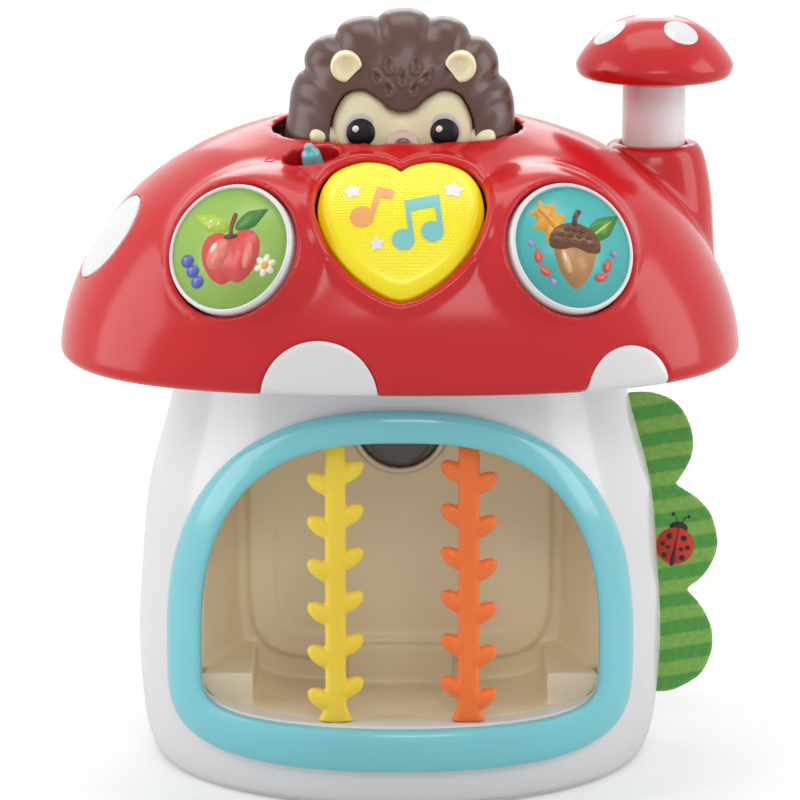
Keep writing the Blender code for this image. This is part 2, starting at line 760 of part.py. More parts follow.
def battery_door_prism(name, grow, low_y, high_y, look=None):
    outline = rounded_ring(BAY_HALF_WIDTH - 3.0 + grow, BAY_HALF_HEIGHT - 3.0 + grow, 8.0, 28)
    frame = frame_at((0.0, 0.0, BAY_Z), (0, 1, 0))
    return prism(name, outline, low_y, high_y, look, frame)


def case_screw_hole(place):
    """A stepped hole along Y for a case screw: a head pocket and a shank hole."""
    profile = [(0.0, -30.0), (1.9, -30.0), (1.9, -6.0), (3.6, -6.0), (3.6, 40.0), (0.0, 40.0)]
    return turned("screw hole", profile, None, frame_at(place, (0, 1, 0)), 12)


def hair_half_width(y):
    """The head fills the opening it rises through, less a small clearance."""
    share = (abs(y - NEST_Y) / (NEST_HALF_DEPTH - 1.7)) ** 2.1
    return (NEST_HALF_WIDTH - 2.0) * (1.0 - share) ** (1.0 / 2.1)


def hair_outline(half_width):
    """The head from the front: straight sides, then an arch of rounded tufts."""
    size = half_width / (NEST_HALF_WIDTH - 2.0)
    points = [(-half_width, HEAD_FOOT), (half_width, HEAD_FOOT)]
    steps = 4 * TUFTS
    for k in range(steps + 1):
        angle = math.radians(2.0) + math.radians(176.0) * k / steps
        bulge = abs(math.sin(math.pi * k / 4.0)) ** 0.6
        radius = (HEAD_RADIUS - TUFT_DEPTH * (1.0 - bulge)) * size
        points.append((radius * math.cos(angle), HEAD_MIDDLE + radius * math.sin(angle)))
    return points


def hair_hollow():
    """The space inside the moulded hair, open at its foot."""
    rings = []
    for y in (-13.0, 0.0, 6.0):
        half = hair_half_width(y) - HAIR_WALL
        ring = [(NEST_X + half, y, HEAD_FOOT - 5.0)]
        for k in range(9):
            angle = math.pi * k / 8
            ring.append((NEST_X + half * math.cos(angle), y, HEAD_MIDDLE + half * math.sin(angle)))
        ring.append((NEST_X - half, y, HEAD_FOOT - 5.0))
        rings.append(ring)
    return loft("hair hollow", rings, None)


def build_hedgehog():
    """The head that rises out of the cap: hair, face, ears, eyes, nose, paws and carrier."""
    brown = material("brown plastic", BROWN, 0.35)
    cream = material("face plastic", FACE, 0.4)
    rings = []
    for y in (HAIR_FRONT_Y, -19.5, -15.0, -8.0, 0.0, 6.0, 10.5):
        rings.append([(x + NEST_X, y, z) for x, z in hair_outline(hair_half_width(y))])
    hair = loft("hedgehog_hair", rings, brown, sharp=60.0)
    cut(hair, hair_hollow())
    pieces = [hair]
    for name, x in (("left_paw", -28.5), ("right_paw", 28.8)):
        place = frame_at((x, -19.2, 0.0), (0, 0, 1))
        cut(hair, turned(name + " seat", [(0.0, 208.0), (4.5, 208.0), (4.5, 228.0), (2.6, 230.2),
                                          (0.0, 231.0)], None, place, 12))
        pieces.append(turned(name, [(0.0, 208.4), (4.1, 208.4), (4.1, 226.0), (3.4, 228.4),
                                    (1.8, 229.8), (0.0, 230.2)], cream, place, 12))
    face = []
    for y, size in ((-22.4, 1.0), (-24.4, 0.99), (-25.8, 0.9), (-26.6, 0.62)):
        face.append([(FACE_X + x * size, y, FACE_Z + (z - FACE_Z) * size) for x, z in face_outline()])
    mask = loft("hedgehog_face", face, cream)
    pieces.append(mask)
    for name, x in (("left_eye", FACE_X - 14.6), ("right_eye", FACE_X + 14.8)):
        place = frame_at((x, -24.6, 226.9), (0, -1, 0))
        cut(mask, turned(name + " seat", [(0.0, 0.0), (6.6, 0.0), (6.6, 8.0), (0.0, 8.0)], None,
                         place, 16))
        pieces.append(turned(name, [(0.0, GAP), (6.3, GAP), (6.3, 1.3), (5.0, 2.6), (0.0, 3.4)],
                             material("eye plastic", DARK, 0.1), place, 16))
    pieces.append(turned("hedgehog_nose", [(0.0, 0.0), (3.0, 0.2), (3.4, 1.2), (2.4, 2.2), (0.0, 2.5)],
                         material("nose plastic", (0.20, 0.05, 0.03), 0.2),
                         frame_at((FACE_X + 0.2, -26.6 - GAP, 224.4), (0, -1, 0)), 14))
    for name, x in (("left_ear", -18.6), ("right_ear", 21.0)):
        profile = [(0.0, 0.0), (5.5, 0.0), (5.6, 1.6), (4.9, 2.8), (3.7, 2.9), (3.0, 1.6), (0.0, 1.2)]
        pieces.append(turned(name, profile, cream,
                             frame_at((x, HAIR_FRONT_Y - GAP, 249.2), (0, -1, 0)), 14))
    pieces.append(build_carrier())
    carry("hedgehog_lift", frame_at((NEST_X, NEST_Y, HEAD_FOOT), (0, 0, 1)), *pieces)


def build_carrier():
    """The plate under the head and the column that the rocker lever lifts by its pad."""
    top = HEAD_FOOT - GAP
    carrier = block("hedgehog_carrier", (-30.0, -22.0, top - 3.0), (30.0, 8.0, top),
                    material("grey plastic", GREY, 0.5))
    column = block("carrier column", (-12.0, -12.0, 158.0), (12.0, 17.0, top - 1.0))
    cut(column, block("lever notch", (-20.0, LEVER_Y - 6.0, 100.0), (20.0, 30.0, CARRIER_SOLE + 6.0)))
    fuse(column, block("lever pad", (-5.0, LEVER_Y - 4.5, CARRIER_SOLE), (2.4, LEVER_Y + 3.9,
                                                                          CARRIER_SOLE + 8.0)))
    fuse(carrier, column)
    return carrier


def face_outline():
    """Two cheeks with a dip between them and a round chin, about the middle of the face."""
    half = ((0.0, 234.6), (5.0, 237.6), (12.5, 241.0), (19.5, 238.0), (23.8, 229.0), (23.6, 218.0),
            (17.0, 209.8), (7.0, 206.9), (0.0, 206.4))
    smooth = smooth_rows(half, 2, range(1, 4))
    return smooth + [(-x, z) for x, z in reversed(smooth[1:-1])]


def build_plunger():
    upright = chimney_frame()
    profile = [(0.0, KNOB_TOP), (9.0, KNOB_TOP - 0.9), (16.0, KNOB_TOP - 4.0), (21.6, KNOB_TOP - 8.4),
               (25.6, KNOB_TOP - 13.2), (27.5, KNOB_WIDEST + 1.6), (KNOB_RADIUS, KNOB_WIDEST),
               (27.1, KNOB_WIDEST - 2.4), (25.0, KNOB_WIDEST - 4.0), (19.0, KNOB_WIDEST - 5.2),
               (13.4, 236.8), (TUBE_RADIUS + GAP, 236.8), (TUBE_RADIUS + GAP, 247.0), (0.0, 247.0)]
    knob = turned("plunger_knob", profile, material("red plastic", RED, 0.2), upright, 22)
    bore = 8.8
    profile = [(0.0, 246.6), (TUBE_RADIUS - 0.8, 246.6), (TUBE_RADIUS, 245.8),
               (TUBE_RADIUS, PLUNGER_FOOT_Z + 2.4), (15.2, PLUNGER_FOOT_Z + 2.4),
               (15.2, PLUNGER_FOOT_Z), (bore, PLUNGER_FOOT_Z), (bore, 214.5), (0.0, 214.5)]
    tube = turned("plunger_tube", profile, material("white gloss plastic", WHITE, 0.2), upright, 20)
    carry("plunger_travel", frame_at((CHIMNEY_X, CHIMNEY_Y, PLUNGER_FOOT_Z), (0, 0, 1)), knob, tube)
    low = PLUNGER_FOOT_Z + 2.4 + GAP
    profile = [(TUBE_RADIUS + 0.5, low), (14.0, low), (14.0, 211.0), (TUBE_RADIUS + 0.5, 211.0)]
    turned("plunger_sleeve", profile, material("grey plastic", GREY, 0.5), upright, 16)
    build_spring()


def build_spring():
    """The return spring: an unbroken round wire, closed to flat turns at both ends."""
    low = TRAY_TOP + 1.2
    high = 213.2
    path = []
    steps = SPRING_TURNS * 7
    for k in range(steps + 1):
        share = k / steps
        angle = math.tau * SPRING_TURNS * share
        path.append((SPRING_RADIUS * math.cos(angle), SPRING_RADIUS * math.sin(angle),
                     low + (high - low) * share))
    curve = bpy.data.curves.new("plunger_spring", "CURVE")
    curve.dimensions = "3D"
    curve.bevel_depth = 0.7 * MM
    curve.bevel_resolution = 0
    curve.use_fill_caps = True
    line = curve.splines.new("POLY")
    line.points.add(len(path) - 1)
    for point, (x, y, z) in zip(line.points, path):
        point.co = ((CHIMNEY_X + x) * MM, (CHIMNEY_Y + y) * MM, z * MM, 1.0)
    curve.materials.append(material("spring steel", STEEL, 0.3, 1.0))
    spring = bpy.data.objects.new("plunger_spring", curve)
    bpy.context.scene.collection.objects.link(spring)


def build_lever():
    """The rocker: a bar with a round hub, level halfway through the stroke."""
    tip = LEVER_THICKNESS * 0.5
    outline = []
    for k in range(7):
        angle = -0.5 * math.pi + math.pi * k / 6
        outline.append((LEVER_ARM + tip * math.cos(angle), tip * math.sin(angle)))
    outline += [(31.0, LEVER_DIP), (9.0, 3.6), (4.6, 6.2), (0.0, 7.2), (-4.6, 6.2), (-9.0, 3.6)]
    for k in range(7):
        angle = 0.5 * math.pi + math.pi * k / 6
        outline.append((-LEVER_ARM + tip * math.cos(angle), tip * math.sin(angle)))
    outline += [(-9.0, -3.6), (-4.6, -6.2), (0.0, -7.2), (4.6, -6.2), (9.0, -3.6),
                (31.0, LEVER_DIP - 4.8)]
    grey = material("grey plastic", GREY, 0.5)
    seat = frame_at((LEVER_X, LEVER_Y, LEVER_Z), (0, -1, 0))
    lever = prism("rocker_lever", outline, -4.0, 4.0, grey, seat @ Matrix.Rotation(LEVER_REST, 4, "Z"))
    cut(lever, turned("lever bore", [(0.0, -9.0), (2.3, -9.0), (2.3, 9.0), (0.0, 9.0)], None, seat, 16))
    carry("lever_pivot", seat, lever)
    pin = [(0.0, -12.0), (2.0, -12.0), (2.0, 10.0), (3.4, 10.0), (3.4, 11.6), (0.0, 11.6)]
    turned("lever_pin", pin, material("spring steel", STEEL, 0.3, 1.0), seat, 16)
    bracket = block("lever_bracket", (LEVER_X - 12.0, LEVER_Y - 13.0, TRAY_TOP + GAP),
                    (LEVER_X + 12.0, LEVER_Y + 13.0, TRAY_TOP + 3.0), grey)
    cheek = ((-9.0, TRAY_TOP + 1.0), (9.0, TRAY_TOP + 1.0), (5.5, LEVER_Z + 2.0), (3.0, LEVER_Z + 5.4),
             (-3.0, LEVER_Z + 5.4), (-5.5, LEVER_Z + 2.0))
    side = frame_at((LEVER_X, LEVER_Y, 0.0), (0, -1, 0))
    for low in (-9.4, 6.4):
        fuse(bracket, prism("bracket cheek", cheek, low, low + 3.0, None, side))
    cut(bracket, turned("pin bore", [(0.0, -20.0), (2.3, -20.0), (2.3, 20.0), (0.0, 20.0)], None, seat,
                        16))
    guide = block("lift_guide", (-16.0, -16.0, TRAY_TOP + GAP), (16.0, 21.0, 192.0), grey)
    cut(guide, block("guide channel", (-12.5, -12.5, TRAY_TOP + 3.0), (12.5, 17.5, 200.0)))
    cut(guide, block("lever slot", (-8.0, LEVER_Y - 5.5, 164.0), (30.0, LEVER_Y + 6.5, 200.0)))


def build_round_buttons():
    """Two picture buttons, each with its print, rubber dome and seat under the cap."""
    white = material("white gloss plastic", WHITE, 0.2)
    prints = {"left": GREEN, "right": TEAL}
    for side in BUTTON_PLACES:
        frame = button_frame(side)
        r = BUTTON_RADIUS
        cap = [(0.0, -5.0), (4.0, -5.0), (4.0, -2.4), (r - 1.6, -2.4), (r - 1.6, -6.0), (r, -6.0),
               (r, 1.0), (r - 0.5, 1.8), (r - 1.5, 2.2), (PRINT_RADIUS + 0.35, 2.2),
               (PRINT_RADIUS + 0.35, 1.2), (0.0, 1.2)]
        button = turned(side + "_button", cap, white, frame, 22)
        disc = [(0.0, 1.5), (PRINT_RADIUS, 1.5), (PRINT_RADIUS, 1.9), (PRINT_RADIUS - 2.0, 2.15),
                (0.0, 2.3)]
        picture = turned(side + "_button_picture", disc, material(side + " print", prints[side], 0.4),
                         frame, 22)
        carry(side + "_button_press", frame, button, picture)
        dome_profile = [(6.0, -12.2), (7.6, -12.2), (7.6, -11.4), (5.4, -10.6), (4.2, -6.6), (3.6, -5.3),
                        (2.6, -5.3), (3.0, -6.9), (4.4, -11.0)]
        turned(side + "_button_dome", dome_profile, material("rubber", (0.5, 0.5, 0.5), 0.7), frame, 10)
        seat = [(0.0, -15.0), (20.0, -15.0), (20.0, -9.5), (18.6, -9.5), (18.6, -12.6), (0.0, -12.6)]
        turned(side + "_button_seat", seat, material("board green", BOARD, 0.5), frame, 18)


def build_heart():
    """The heart lens follows the roof. A light board and a rubber dome lie under it."""
    frame = heart_frame()
    lens = prism("heart_button", heart_outline(), -16.0, 12.0, material("yellow lens", YELLOW, 0.25),
                 frame)
    keep(lens, proud_dome("heart skin", 1.3, INNER_SEGMENTS))
    cut(lens, dome("heart back", 4.5, 140.0))
    carry("heart_press", frame, lens)
    board = prism("heart_light_board", rounded_ring(17.0, 15.0, 4.0, 16), -19.6, -18.0,
                  material("board green", BOARD, 0.5), frame)
    for x in (-10.0, 10.0):
        lamp = [(0.0, -18.4), (2.4, -18.4), (2.4, -15.4), (1.6, -14.2), (0.0, -13.8)]
        fuse(board, turned("lamp", lamp, None, frame @ Matrix.Translation((x, 4.0, 0.0)), 10))
    dome_profile = [(5.0, -17.6), (6.6, -17.6), (6.6, -16.8), (4.6, -15.8), (3.6, -9.4), (3.0, -8.0),
                    (2.0, -8.0), (2.5, -9.8), (3.6, -16.2)]
    turned("heart_button_dome", dome_profile, material("rubber", (0.5, 0.5, 0.5), 0.7),
           frame @ Matrix.Translation((0.0, -3.0, 0.0)), 10)


def build_slide_switch():
    frame = slot_frame()
    prism("volume_switch", rounded_ring(8.0, 3.8, 6.0, 16), -10.4, -6.8,
          material("black plastic", DARK, 0.5), frame)
    knob = prism("volume_knob", rounded_ring(3.9, 3.2, 3.0, 12), -6.4, -4.2,
                 material("sky blue plastic", SKY, 0.25), frame)
    stem = [(0.0, -5.0), (3.3, -5.0), (3.3, -1.2), (2.6, 0.4), (2.2, 2.2), (1.4, 3.0), (0.0, 3.2)]
    fuse(knob, turned("knob stem", stem, None, frame, 14))
    carry("volume_travel", frame, knob)


def build_electronics():
    board = prism("main_board", rounded_ring(30.0, 34.0, 8.0, 20), TRAY_TOP + 2.0, TRAY_TOP + 3.6,
                  material("board green", BOARD, 0.5), frame_at((-60.0, 8.0, 0.0), (0, 0, 1)))
    for x, y, size in ((-8.0, 6.0, 5.0), (10.0, -12.0, 4.0)):
        fuse(board, block("chip", (x - size, y - size, TRAY_TOP + 3.2),
                          (x + size, y + size, TRAY_TOP + 5.2), None,
                          frame_at((-60.0, 8.0, 0.0), (0, 0, 1))))
    speaker = [(0.0, -11.0), (9.0, -11.0), (9.0, -5.0), (12.0, -4.0), (18.5, -1.2), (20.0, -1.2),
               (20.0, 0.6), (17.0, 0.6), (10.0, -2.0), (0.0, -2.0)]
    turned("loudspeaker", speaker, material("black plastic", DARK, 0.5),
           frame_at((0.0, SPEAKER_Y, SPEAKER_Z), (0, 1, 0)), 14)


def build_battery_bay():
    white = material("white plastic", WHITE, 0.3)
    door = battery_door_prism("battery_door", 0.0, 40.0, 110.0, white)
    keep(door, trunk_solid("door skin", 0.0, 20.0, 130.0, 1))
    cut(door, trunk_solid("door back", TRUNK_WALL, 10.0, 140.0, 1, None, TRUNK_INNER_SEGMENTS))
    cut(door, turned("door screw hole", [(0.0, 50.0), (1.9, 50.0), (1.9, 75.4), (3.4, 76.4),
                                         (3.4, 90.0), (0.0, 90.0)], None,
                     frame_at((0.0, 0.0, BAY_Z + DOOR_SCREW_RISE), (0, 1, 0)), 12))
    box = block("battery_box", (-BAY_HALF_WIDTH, 42.0, BAY_Z - BAY_HALF_HEIGHT),
                (BAY_HALF_WIDTH, 63.5, BAY_Z + BAY_HALF_HEIGHT), white)
    cut(box, block("bay", (-BAY_HALF_WIDTH + 2.0, 44.0, BAY_Z - BAY_HALF_HEIGHT + 2.0),
                   (BAY_HALF_WIDTH - 2.0, 80.0, BAY_Z + BAY_HALF_HEIGHT - 2.0)))
    pitch = 2.0 * CELL_RADIUS + 2.4
    for name, side in (("left_battery_cell", -0.5), ("right_battery_cell", 0.5)):
        low = BAY_Z - 0.5 * CELL_LENGTH
        shoulder = low + CELL_LENGTH - 1.2
        cell = [(0.0, low), (CELL_RADIUS, low), (CELL_RADIUS, shoulder), (2.7, shoulder),
                (2.7, low + CELL_LENGTH), (0.0, low + CELL_LENGTH)]
        turned(name, cell, material("cell wrap", (0.10, 0.10, 0.12), 0.3),
               frame_at((side * pitch, 52.6, 0.0), (0, 0, 1)), 10)
    steel = material("spring steel", STEEL, 0.3, 1.0)
    for name, z in (("lower_contact_strip", BAY_Z - 0.5 * CELL_LENGTH - 1.2),
                    ("upper_contact_strip", BAY_Z + 0.5 * CELL_LENGTH + 0.5)):
        block(name, (-BAY_HALF_WIDTH + 3.0, 47.0, z), (BAY_HALF_WIDTH - 3.0, 58.0, z + 0.8), steel)


def screw(name, place, axis, length, head=3.0):
    profile = [(0.0, -length), (1.4, -length), (1.4, 0.0), (head, 0.0), (head, 1.0), (head - 0.7, 1.9),
               (0.0, 2.2)]
    turned(name, profile, material("spring steel", STEEL, 0.3, 1.0), frame_at(place, axis), 8)


def bush_outline():
    """Three round lobes seen from the front, closed by an edge that follows the trunk's side."""
    outer = ((0.0, 128.0), (6.6, 128.2), (13.5, 124.5), (20.0, 116.5), (21.8, 107.5), (19.6, 99.0),
             (14.6, 94.4), (22.0, 92.0), (28.0, 84.5), (30.1, 75.0), (28.0, 65.0), (21.8, 58.6),
             (17.0, 57.4), (23.0, 52.5), (27.6, 44.0), (28.4, 37.5), (25.6, 29.0), (18.0, 23.6),
             (12.0, 22.4))
    points = [(BUSH_X + x, z) for x, z in smooth_rows(outer, 1)]
    for k in range(9):
        z = 27.0 + (124.0 - 27.0) * k / 8
        points.append((trunk_side(BUSH_Y, z) + BUSH_CLEARANCE, z))
    return points


def build_bush():
    """The cloth bush, padded a little towards its middle, and its sewn tab in the seam."""
    look = material("green felt", GREEN, 0.9)
    frame = frame_at((0.0, BUSH_Y, 0.0), (0, -1, 0))
    outline = bush_outline()
    middle_x = BUSH_X + 13.0
    rings = []
    for depth, size in ((-0.5, 0.97), (-0.25, 1.0), (0.25, 1.0), (0.5, 0.97)):
        rings.append([(middle_x + (x - middle_x) * size, z, depth * BUSH_THICKNESS)
                      for x, z in outline])
    bush = loft("cloth_bush", rings, look, frame, sharp=60.0)
    (low_x, low_z), (high_x, high_z) = BUSH_HINGE
    carry("bush_bend", frame_at((low_x, BUSH_Y, low_z), (high_x - low_x, 0.0, high_z - low_z)), bush)
    tab = []
    for k in range(9):
        z = 30.0 + (120.0 - 30.0) * k / 8
        tab.append((trunk_side(BUSH_Y, z) + 0.2, z))
    for k in range(9):
        z = 120.0 - (120.0 - 30.0) * k / 8
        tab.append((trunk_side(BUSH_Y, z) - 5.0, z))
    prism("bush_tab", tab, -0.9, 0.9, look, frame)


def build_base():
    half_x, half_y = TRUNK_ROWS[0][1] - 3.4, TRUNK_ROWS[0][2] - 3.4
    rings = []
    for z, gain in ((0.0, -0.8), (0.8, 0.0), (3.0, 0.0)):
        rings.append([(x, y, z) for x, y in rounded_ring(half_x + gain, half_y + gain,
                                                         TRUNK_ROUNDNESS, 28)])
    loft("base_plate", rings, material("white plastic", WHITE, 0.3))


def main():
    clear_scene()
    build_cap()
    build_cap_tray()
    build_spots()
    build_trunk()
    build_base()
    build_ring()
    build_room()
    build_strand("yellow_strand", STRAND_X[0], material("yellow silicone", GOLD, 0.6), 39.7)
    build_strand("orange_strand", STRAND_X[1], material("orange silicone", ORANGE, 0.6), 43.7)
    build_hedgehog()
    build_plunger()
    build_lever()
    build_round_buttons()
    build_heart()
    build_slide_switch()
    build_electronics()
    build_battery_bay()
    build_bush()
    screw("battery_door_screw", (0.0, 75.6, BAY_Z + DOOR_SCREW_RISE), (0, 1, 0), 9.0)


if __name__ == "__main__":
    main()
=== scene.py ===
import json
import math

import bmesh
import bpy
from mathutils import Matrix, Vector
from mathutils.bvhtree import BVHTree


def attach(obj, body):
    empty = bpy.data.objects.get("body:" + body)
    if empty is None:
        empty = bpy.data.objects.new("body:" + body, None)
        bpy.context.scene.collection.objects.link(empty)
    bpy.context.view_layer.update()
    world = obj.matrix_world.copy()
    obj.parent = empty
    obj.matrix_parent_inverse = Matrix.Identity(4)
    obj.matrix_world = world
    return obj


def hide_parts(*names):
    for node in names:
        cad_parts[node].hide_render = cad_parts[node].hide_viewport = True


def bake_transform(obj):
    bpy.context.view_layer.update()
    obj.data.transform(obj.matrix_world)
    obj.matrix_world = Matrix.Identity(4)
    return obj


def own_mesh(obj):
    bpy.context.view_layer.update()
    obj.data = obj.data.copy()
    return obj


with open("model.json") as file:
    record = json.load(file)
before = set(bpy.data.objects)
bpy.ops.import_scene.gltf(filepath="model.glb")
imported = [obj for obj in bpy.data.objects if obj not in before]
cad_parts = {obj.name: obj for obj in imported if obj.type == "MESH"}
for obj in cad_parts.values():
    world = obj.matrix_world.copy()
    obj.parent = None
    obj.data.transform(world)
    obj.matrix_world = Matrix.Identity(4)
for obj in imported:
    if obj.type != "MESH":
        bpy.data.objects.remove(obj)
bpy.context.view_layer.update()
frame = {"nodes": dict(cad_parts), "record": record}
nodes = frame["nodes"]
mm = 0.001  # sizes below are millimetres unless a note says otherwise


# Colours as linear values
tone = {
    "red": (0.63, 0.012, 0.016), "white": (0.78, 0.78, 0.79), "sky": (0.195, 0.610, 0.680),
    "cream": (0.84, 0.72, 0.51), "brown": (0.090, 0.030, 0.019), "face": (0.97, 0.93, 0.60),
    "lens": (0.93, 0.80, 0.006), "gold": (0.96, 0.68, 0.040), "orange": (0.95, 0.185, 0.022),
    "green": (0.145, 0.380, 0.075), "steel": (0.55, 0.55, 0.57), "grey": (0.22, 0.22, 0.23),
    "board": (0.02, 0.16, 0.06), "tube": (0.86, 0.85, 0.85), "ink": (0.012, 0.011, 0.012),
}


def newMaterial(name, colour, rough, coat=0.0, metal=0.0, sheen=0.0, under=0.0):
    made = bpy.data.materials.new(name)
    made.use_nodes = True
    shader = shaderOf(made)
    shader.inputs["Base Color"].default_value = (*colour, 1)
    shader.inputs["Roughness"].default_value = rough
    shader.inputs["Metallic"].default_value = metal
    shader.inputs["Coat Weight"].default_value = coat
    shader.inputs["Coat Roughness"].default_value = 0.08
    shader.inputs["Sheen Weight"].default_value = sheen
    if under:
        shader.inputs["Subsurface Weight"].default_value = under
        shader.inputs["Subsurface Radius"].default_value = (0.004, 0.003, 0.002)
        shader.inputs["Subsurface Scale"].default_value = 0.6
    return made


def shaderOf(made):
    return made.node_tree.nodes["Principled BSDF"]


def addNode(made, kind, **values):
    node = made.node_tree.nodes.new(kind)
    for key, value in values.items():
        if key in node.inputs:
            node.inputs[key].default_value = value
        else:
            setattr(node, key, value)
    return node


def link(made, source, output, target, socket):
    made.node_tree.links.new(source.outputs[output], target.inputs[socket])


def noiseNode(made, scale, detail, rough=0.5):
    # Noise in the object's own space
    place = addNode(made, "ShaderNodeTexCoord")
    noise = addNode(made, "ShaderNodeTexNoise", Scale=scale, Detail=detail, Roughness=rough)
    link(made, place, "Object", noise, "Vector")
    return noise


def rampNode(made, source, output, ends, colours):
    ramp = addNode(made, "ShaderNodeValToRGB")
    for element, end, colour in zip(ramp.color_ramp.elements, ends, colours):
        element.position = end
        element.color = (*colour, 1)
    link(made, source, output, ramp, "Fac")
    return ramp


def rangeNode(made, source, output, low, high, start=0.0, end=1.0):
    # Spreads values from start to end over low to high
    spread = addNode(made, "ShaderNodeMapRange")
    for key, value in (("From Min", start), ("From Max", end), ("To Min", low), ("To Max", high)):
        spread.inputs[key].default_value = value
    link(made, source, output, spread, "Value")
    return spread


def addBump(made, source, strength, distance):
    bump = addNode(made, "ShaderNodeBump", Strength=strength, Distance=distance)
    link(made, source, "Fac", bump, "Height")
    link(made, bump, "Normal", shaderOf(made), "Normal")


def fromScreen(red, green, blue):
    # A colour read from a screen, 0 to 255, as linear values
    return tuple((c / 255 / 12.92) if c < 10.3 else ((c / 255 + 0.055) / 1.055) ** 2.4
                 for c in (red, green, blue))


def moulded(name, colour, rough, coat, grain, grainSize, drift, under=0.0, shine=0.5):
    # Injection moulded plastic: a faint flow drift in the colour and a very fine skin
    made = newMaterial(name, colour, rough, coat, under=under)
    shader = shaderOf(made)
    shader.inputs["Specular IOR Level"].default_value = shine
    flow = noiseNode(made, 18.0, 3.0)
    ramp = rampNode(made, flow, "Fac", (0.30, 0.72), ([c * (1 - drift) for c in colour],
                                                      [min(1, c * (1 + drift)) for c in colour]))
    link(made, ramp, "Color", shader, "Base Color")
    addBump(made, noiseNode(made, grainSize, 2.0), grain, 0.0004)
    wear = rangeNode(made, flow, "Fac", rough * 0.85, rough * 1.2)
    link(made, wear, "Result", shader, "Roughness")
    return made


redShell = moulded("red shell", tone["red"], 0.20, 0.10, 0.010, 1200, 0.03, shine=0.34)
whiteShell = moulded("white shell", tone["white"], 0.22, 0.25, 0.012, 1000, 0.012, under=0.06)
whiteGloss = moulded("white gloss", (0.83, 0.83, 0.84), 0.18, 0.40, 0.006, 900, 0.008)
skyRing = moulded("sky ring", tone["sky"], 0.22, 0.30, 0.010, 1000, 0.03)
creamRoom = moulded("cream room", tone["cream"], 0.46, 0.05, 0.060, 1500, 0.05)
brownHair = moulded("brown hair", tone["brown"], 0.34, 0.12, 0.015, 700, 0.10, shine=0.55)
creamFace = moulded("cream face", tone["face"], 0.36, 0.12, 0.020, 900, 0.03, under=0.08)
tubeGloss = moulded("tube gloss", tone["tube"], 0.22, 0.30, 0.006, 900, 0.01)
greyPart = moulded("grey part", tone["grey"], 0.50, 0.0, 0.050, 900, 0.05)
blackPart = moulded("black part", tone["ink"], 0.45, 0.0, 0.050, 900, 0.05)
smokeWindow = moulded("smoke window", (0.085, 0.078, 0.070), 0.22, 0.25, 0.006, 800, 0.03)
paleBezel = moulded("pale bezel", (0.76, 0.70, 0.62), 0.34, 0.20, 0.010, 900, 0.02)
greyRubber = moulded("grey rubber", (0.5, 0.5, 0.5), 0.7, 0.0, 0.080, 700, 0.05)
boardGreen = moulded("board green", tone["board"], 0.45, 0.1, 0.030, 600, 0.15)
cellWrap = moulded("cell wrap", (0.045, 0.05, 0.06), 0.34, 0.3, 0.008, 500, 0.05)
noseBrown = moulded("nose brown", (0.21, 0.055, 0.035), 0.16, 0.45, 0.006, 700, 0.04)
print("materials ready")


# Camera, floor and lamps
shot = {"elevation": 13.0, "distance": 1350, "aimHeight": 127, "focalPixels": 3803, "imagePixels": 800,
        "clip": (0.02, 40)}  # clip in metres
cameraData = bpy.data.cameras.new("front camera")
camera = bpy.data.objects.new("front camera", cameraData)
bpy.context.scene.collection.objects.link(camera)
cameraData.lens = cameraData.sensor_width * shot["focalPixels"] / shot["imagePixels"]
rise = math.radians(shot["elevation"])
outwards = Vector((0, -math.cos(rise), math.sin(rise)))
aim = Vector((0, 0, shot["aimHeight"] * mm))
camera.location = aim + outwards * shot["distance"] * mm
camera.rotation_mode = "QUATERNION"
camera.rotation_quaternion = (-outwards).to_track_quat("-Z", "Y")
cameraData.clip_start, cameraData.clip_end = shot["clip"]
bpy.context.scene.camera = camera
bpy.context.scene.view_settings.view_transform = "Standard"

studio = {
    "floorHalf": 1500, "floorGap": 0.3, "floorTone": 0.80, "floorGlow": 0.25, "fade": (380, 1000),
    "worldFill": 0.42,
    # name: place, aim, width, height, watts
    "lamps": {
        "left panel": ((-1080, -160, 560), (0, 0, 130), 760, 1100, 6.4),
        "right panel": ((1080, -160, 560), (0, 0, 130), 560, 1000, 4.8),
        "top panel": ((0, 150, 1300), (0, 0, 120), 900, 600, 4.0),
        "front panel": ((150, -1350, 1100), (0, 0, 110), 700, 420, 3.9),
        "rear panel": ((0, 1300, 900), (0, 0, 120), 1000, 700, 5.0),
    },
}


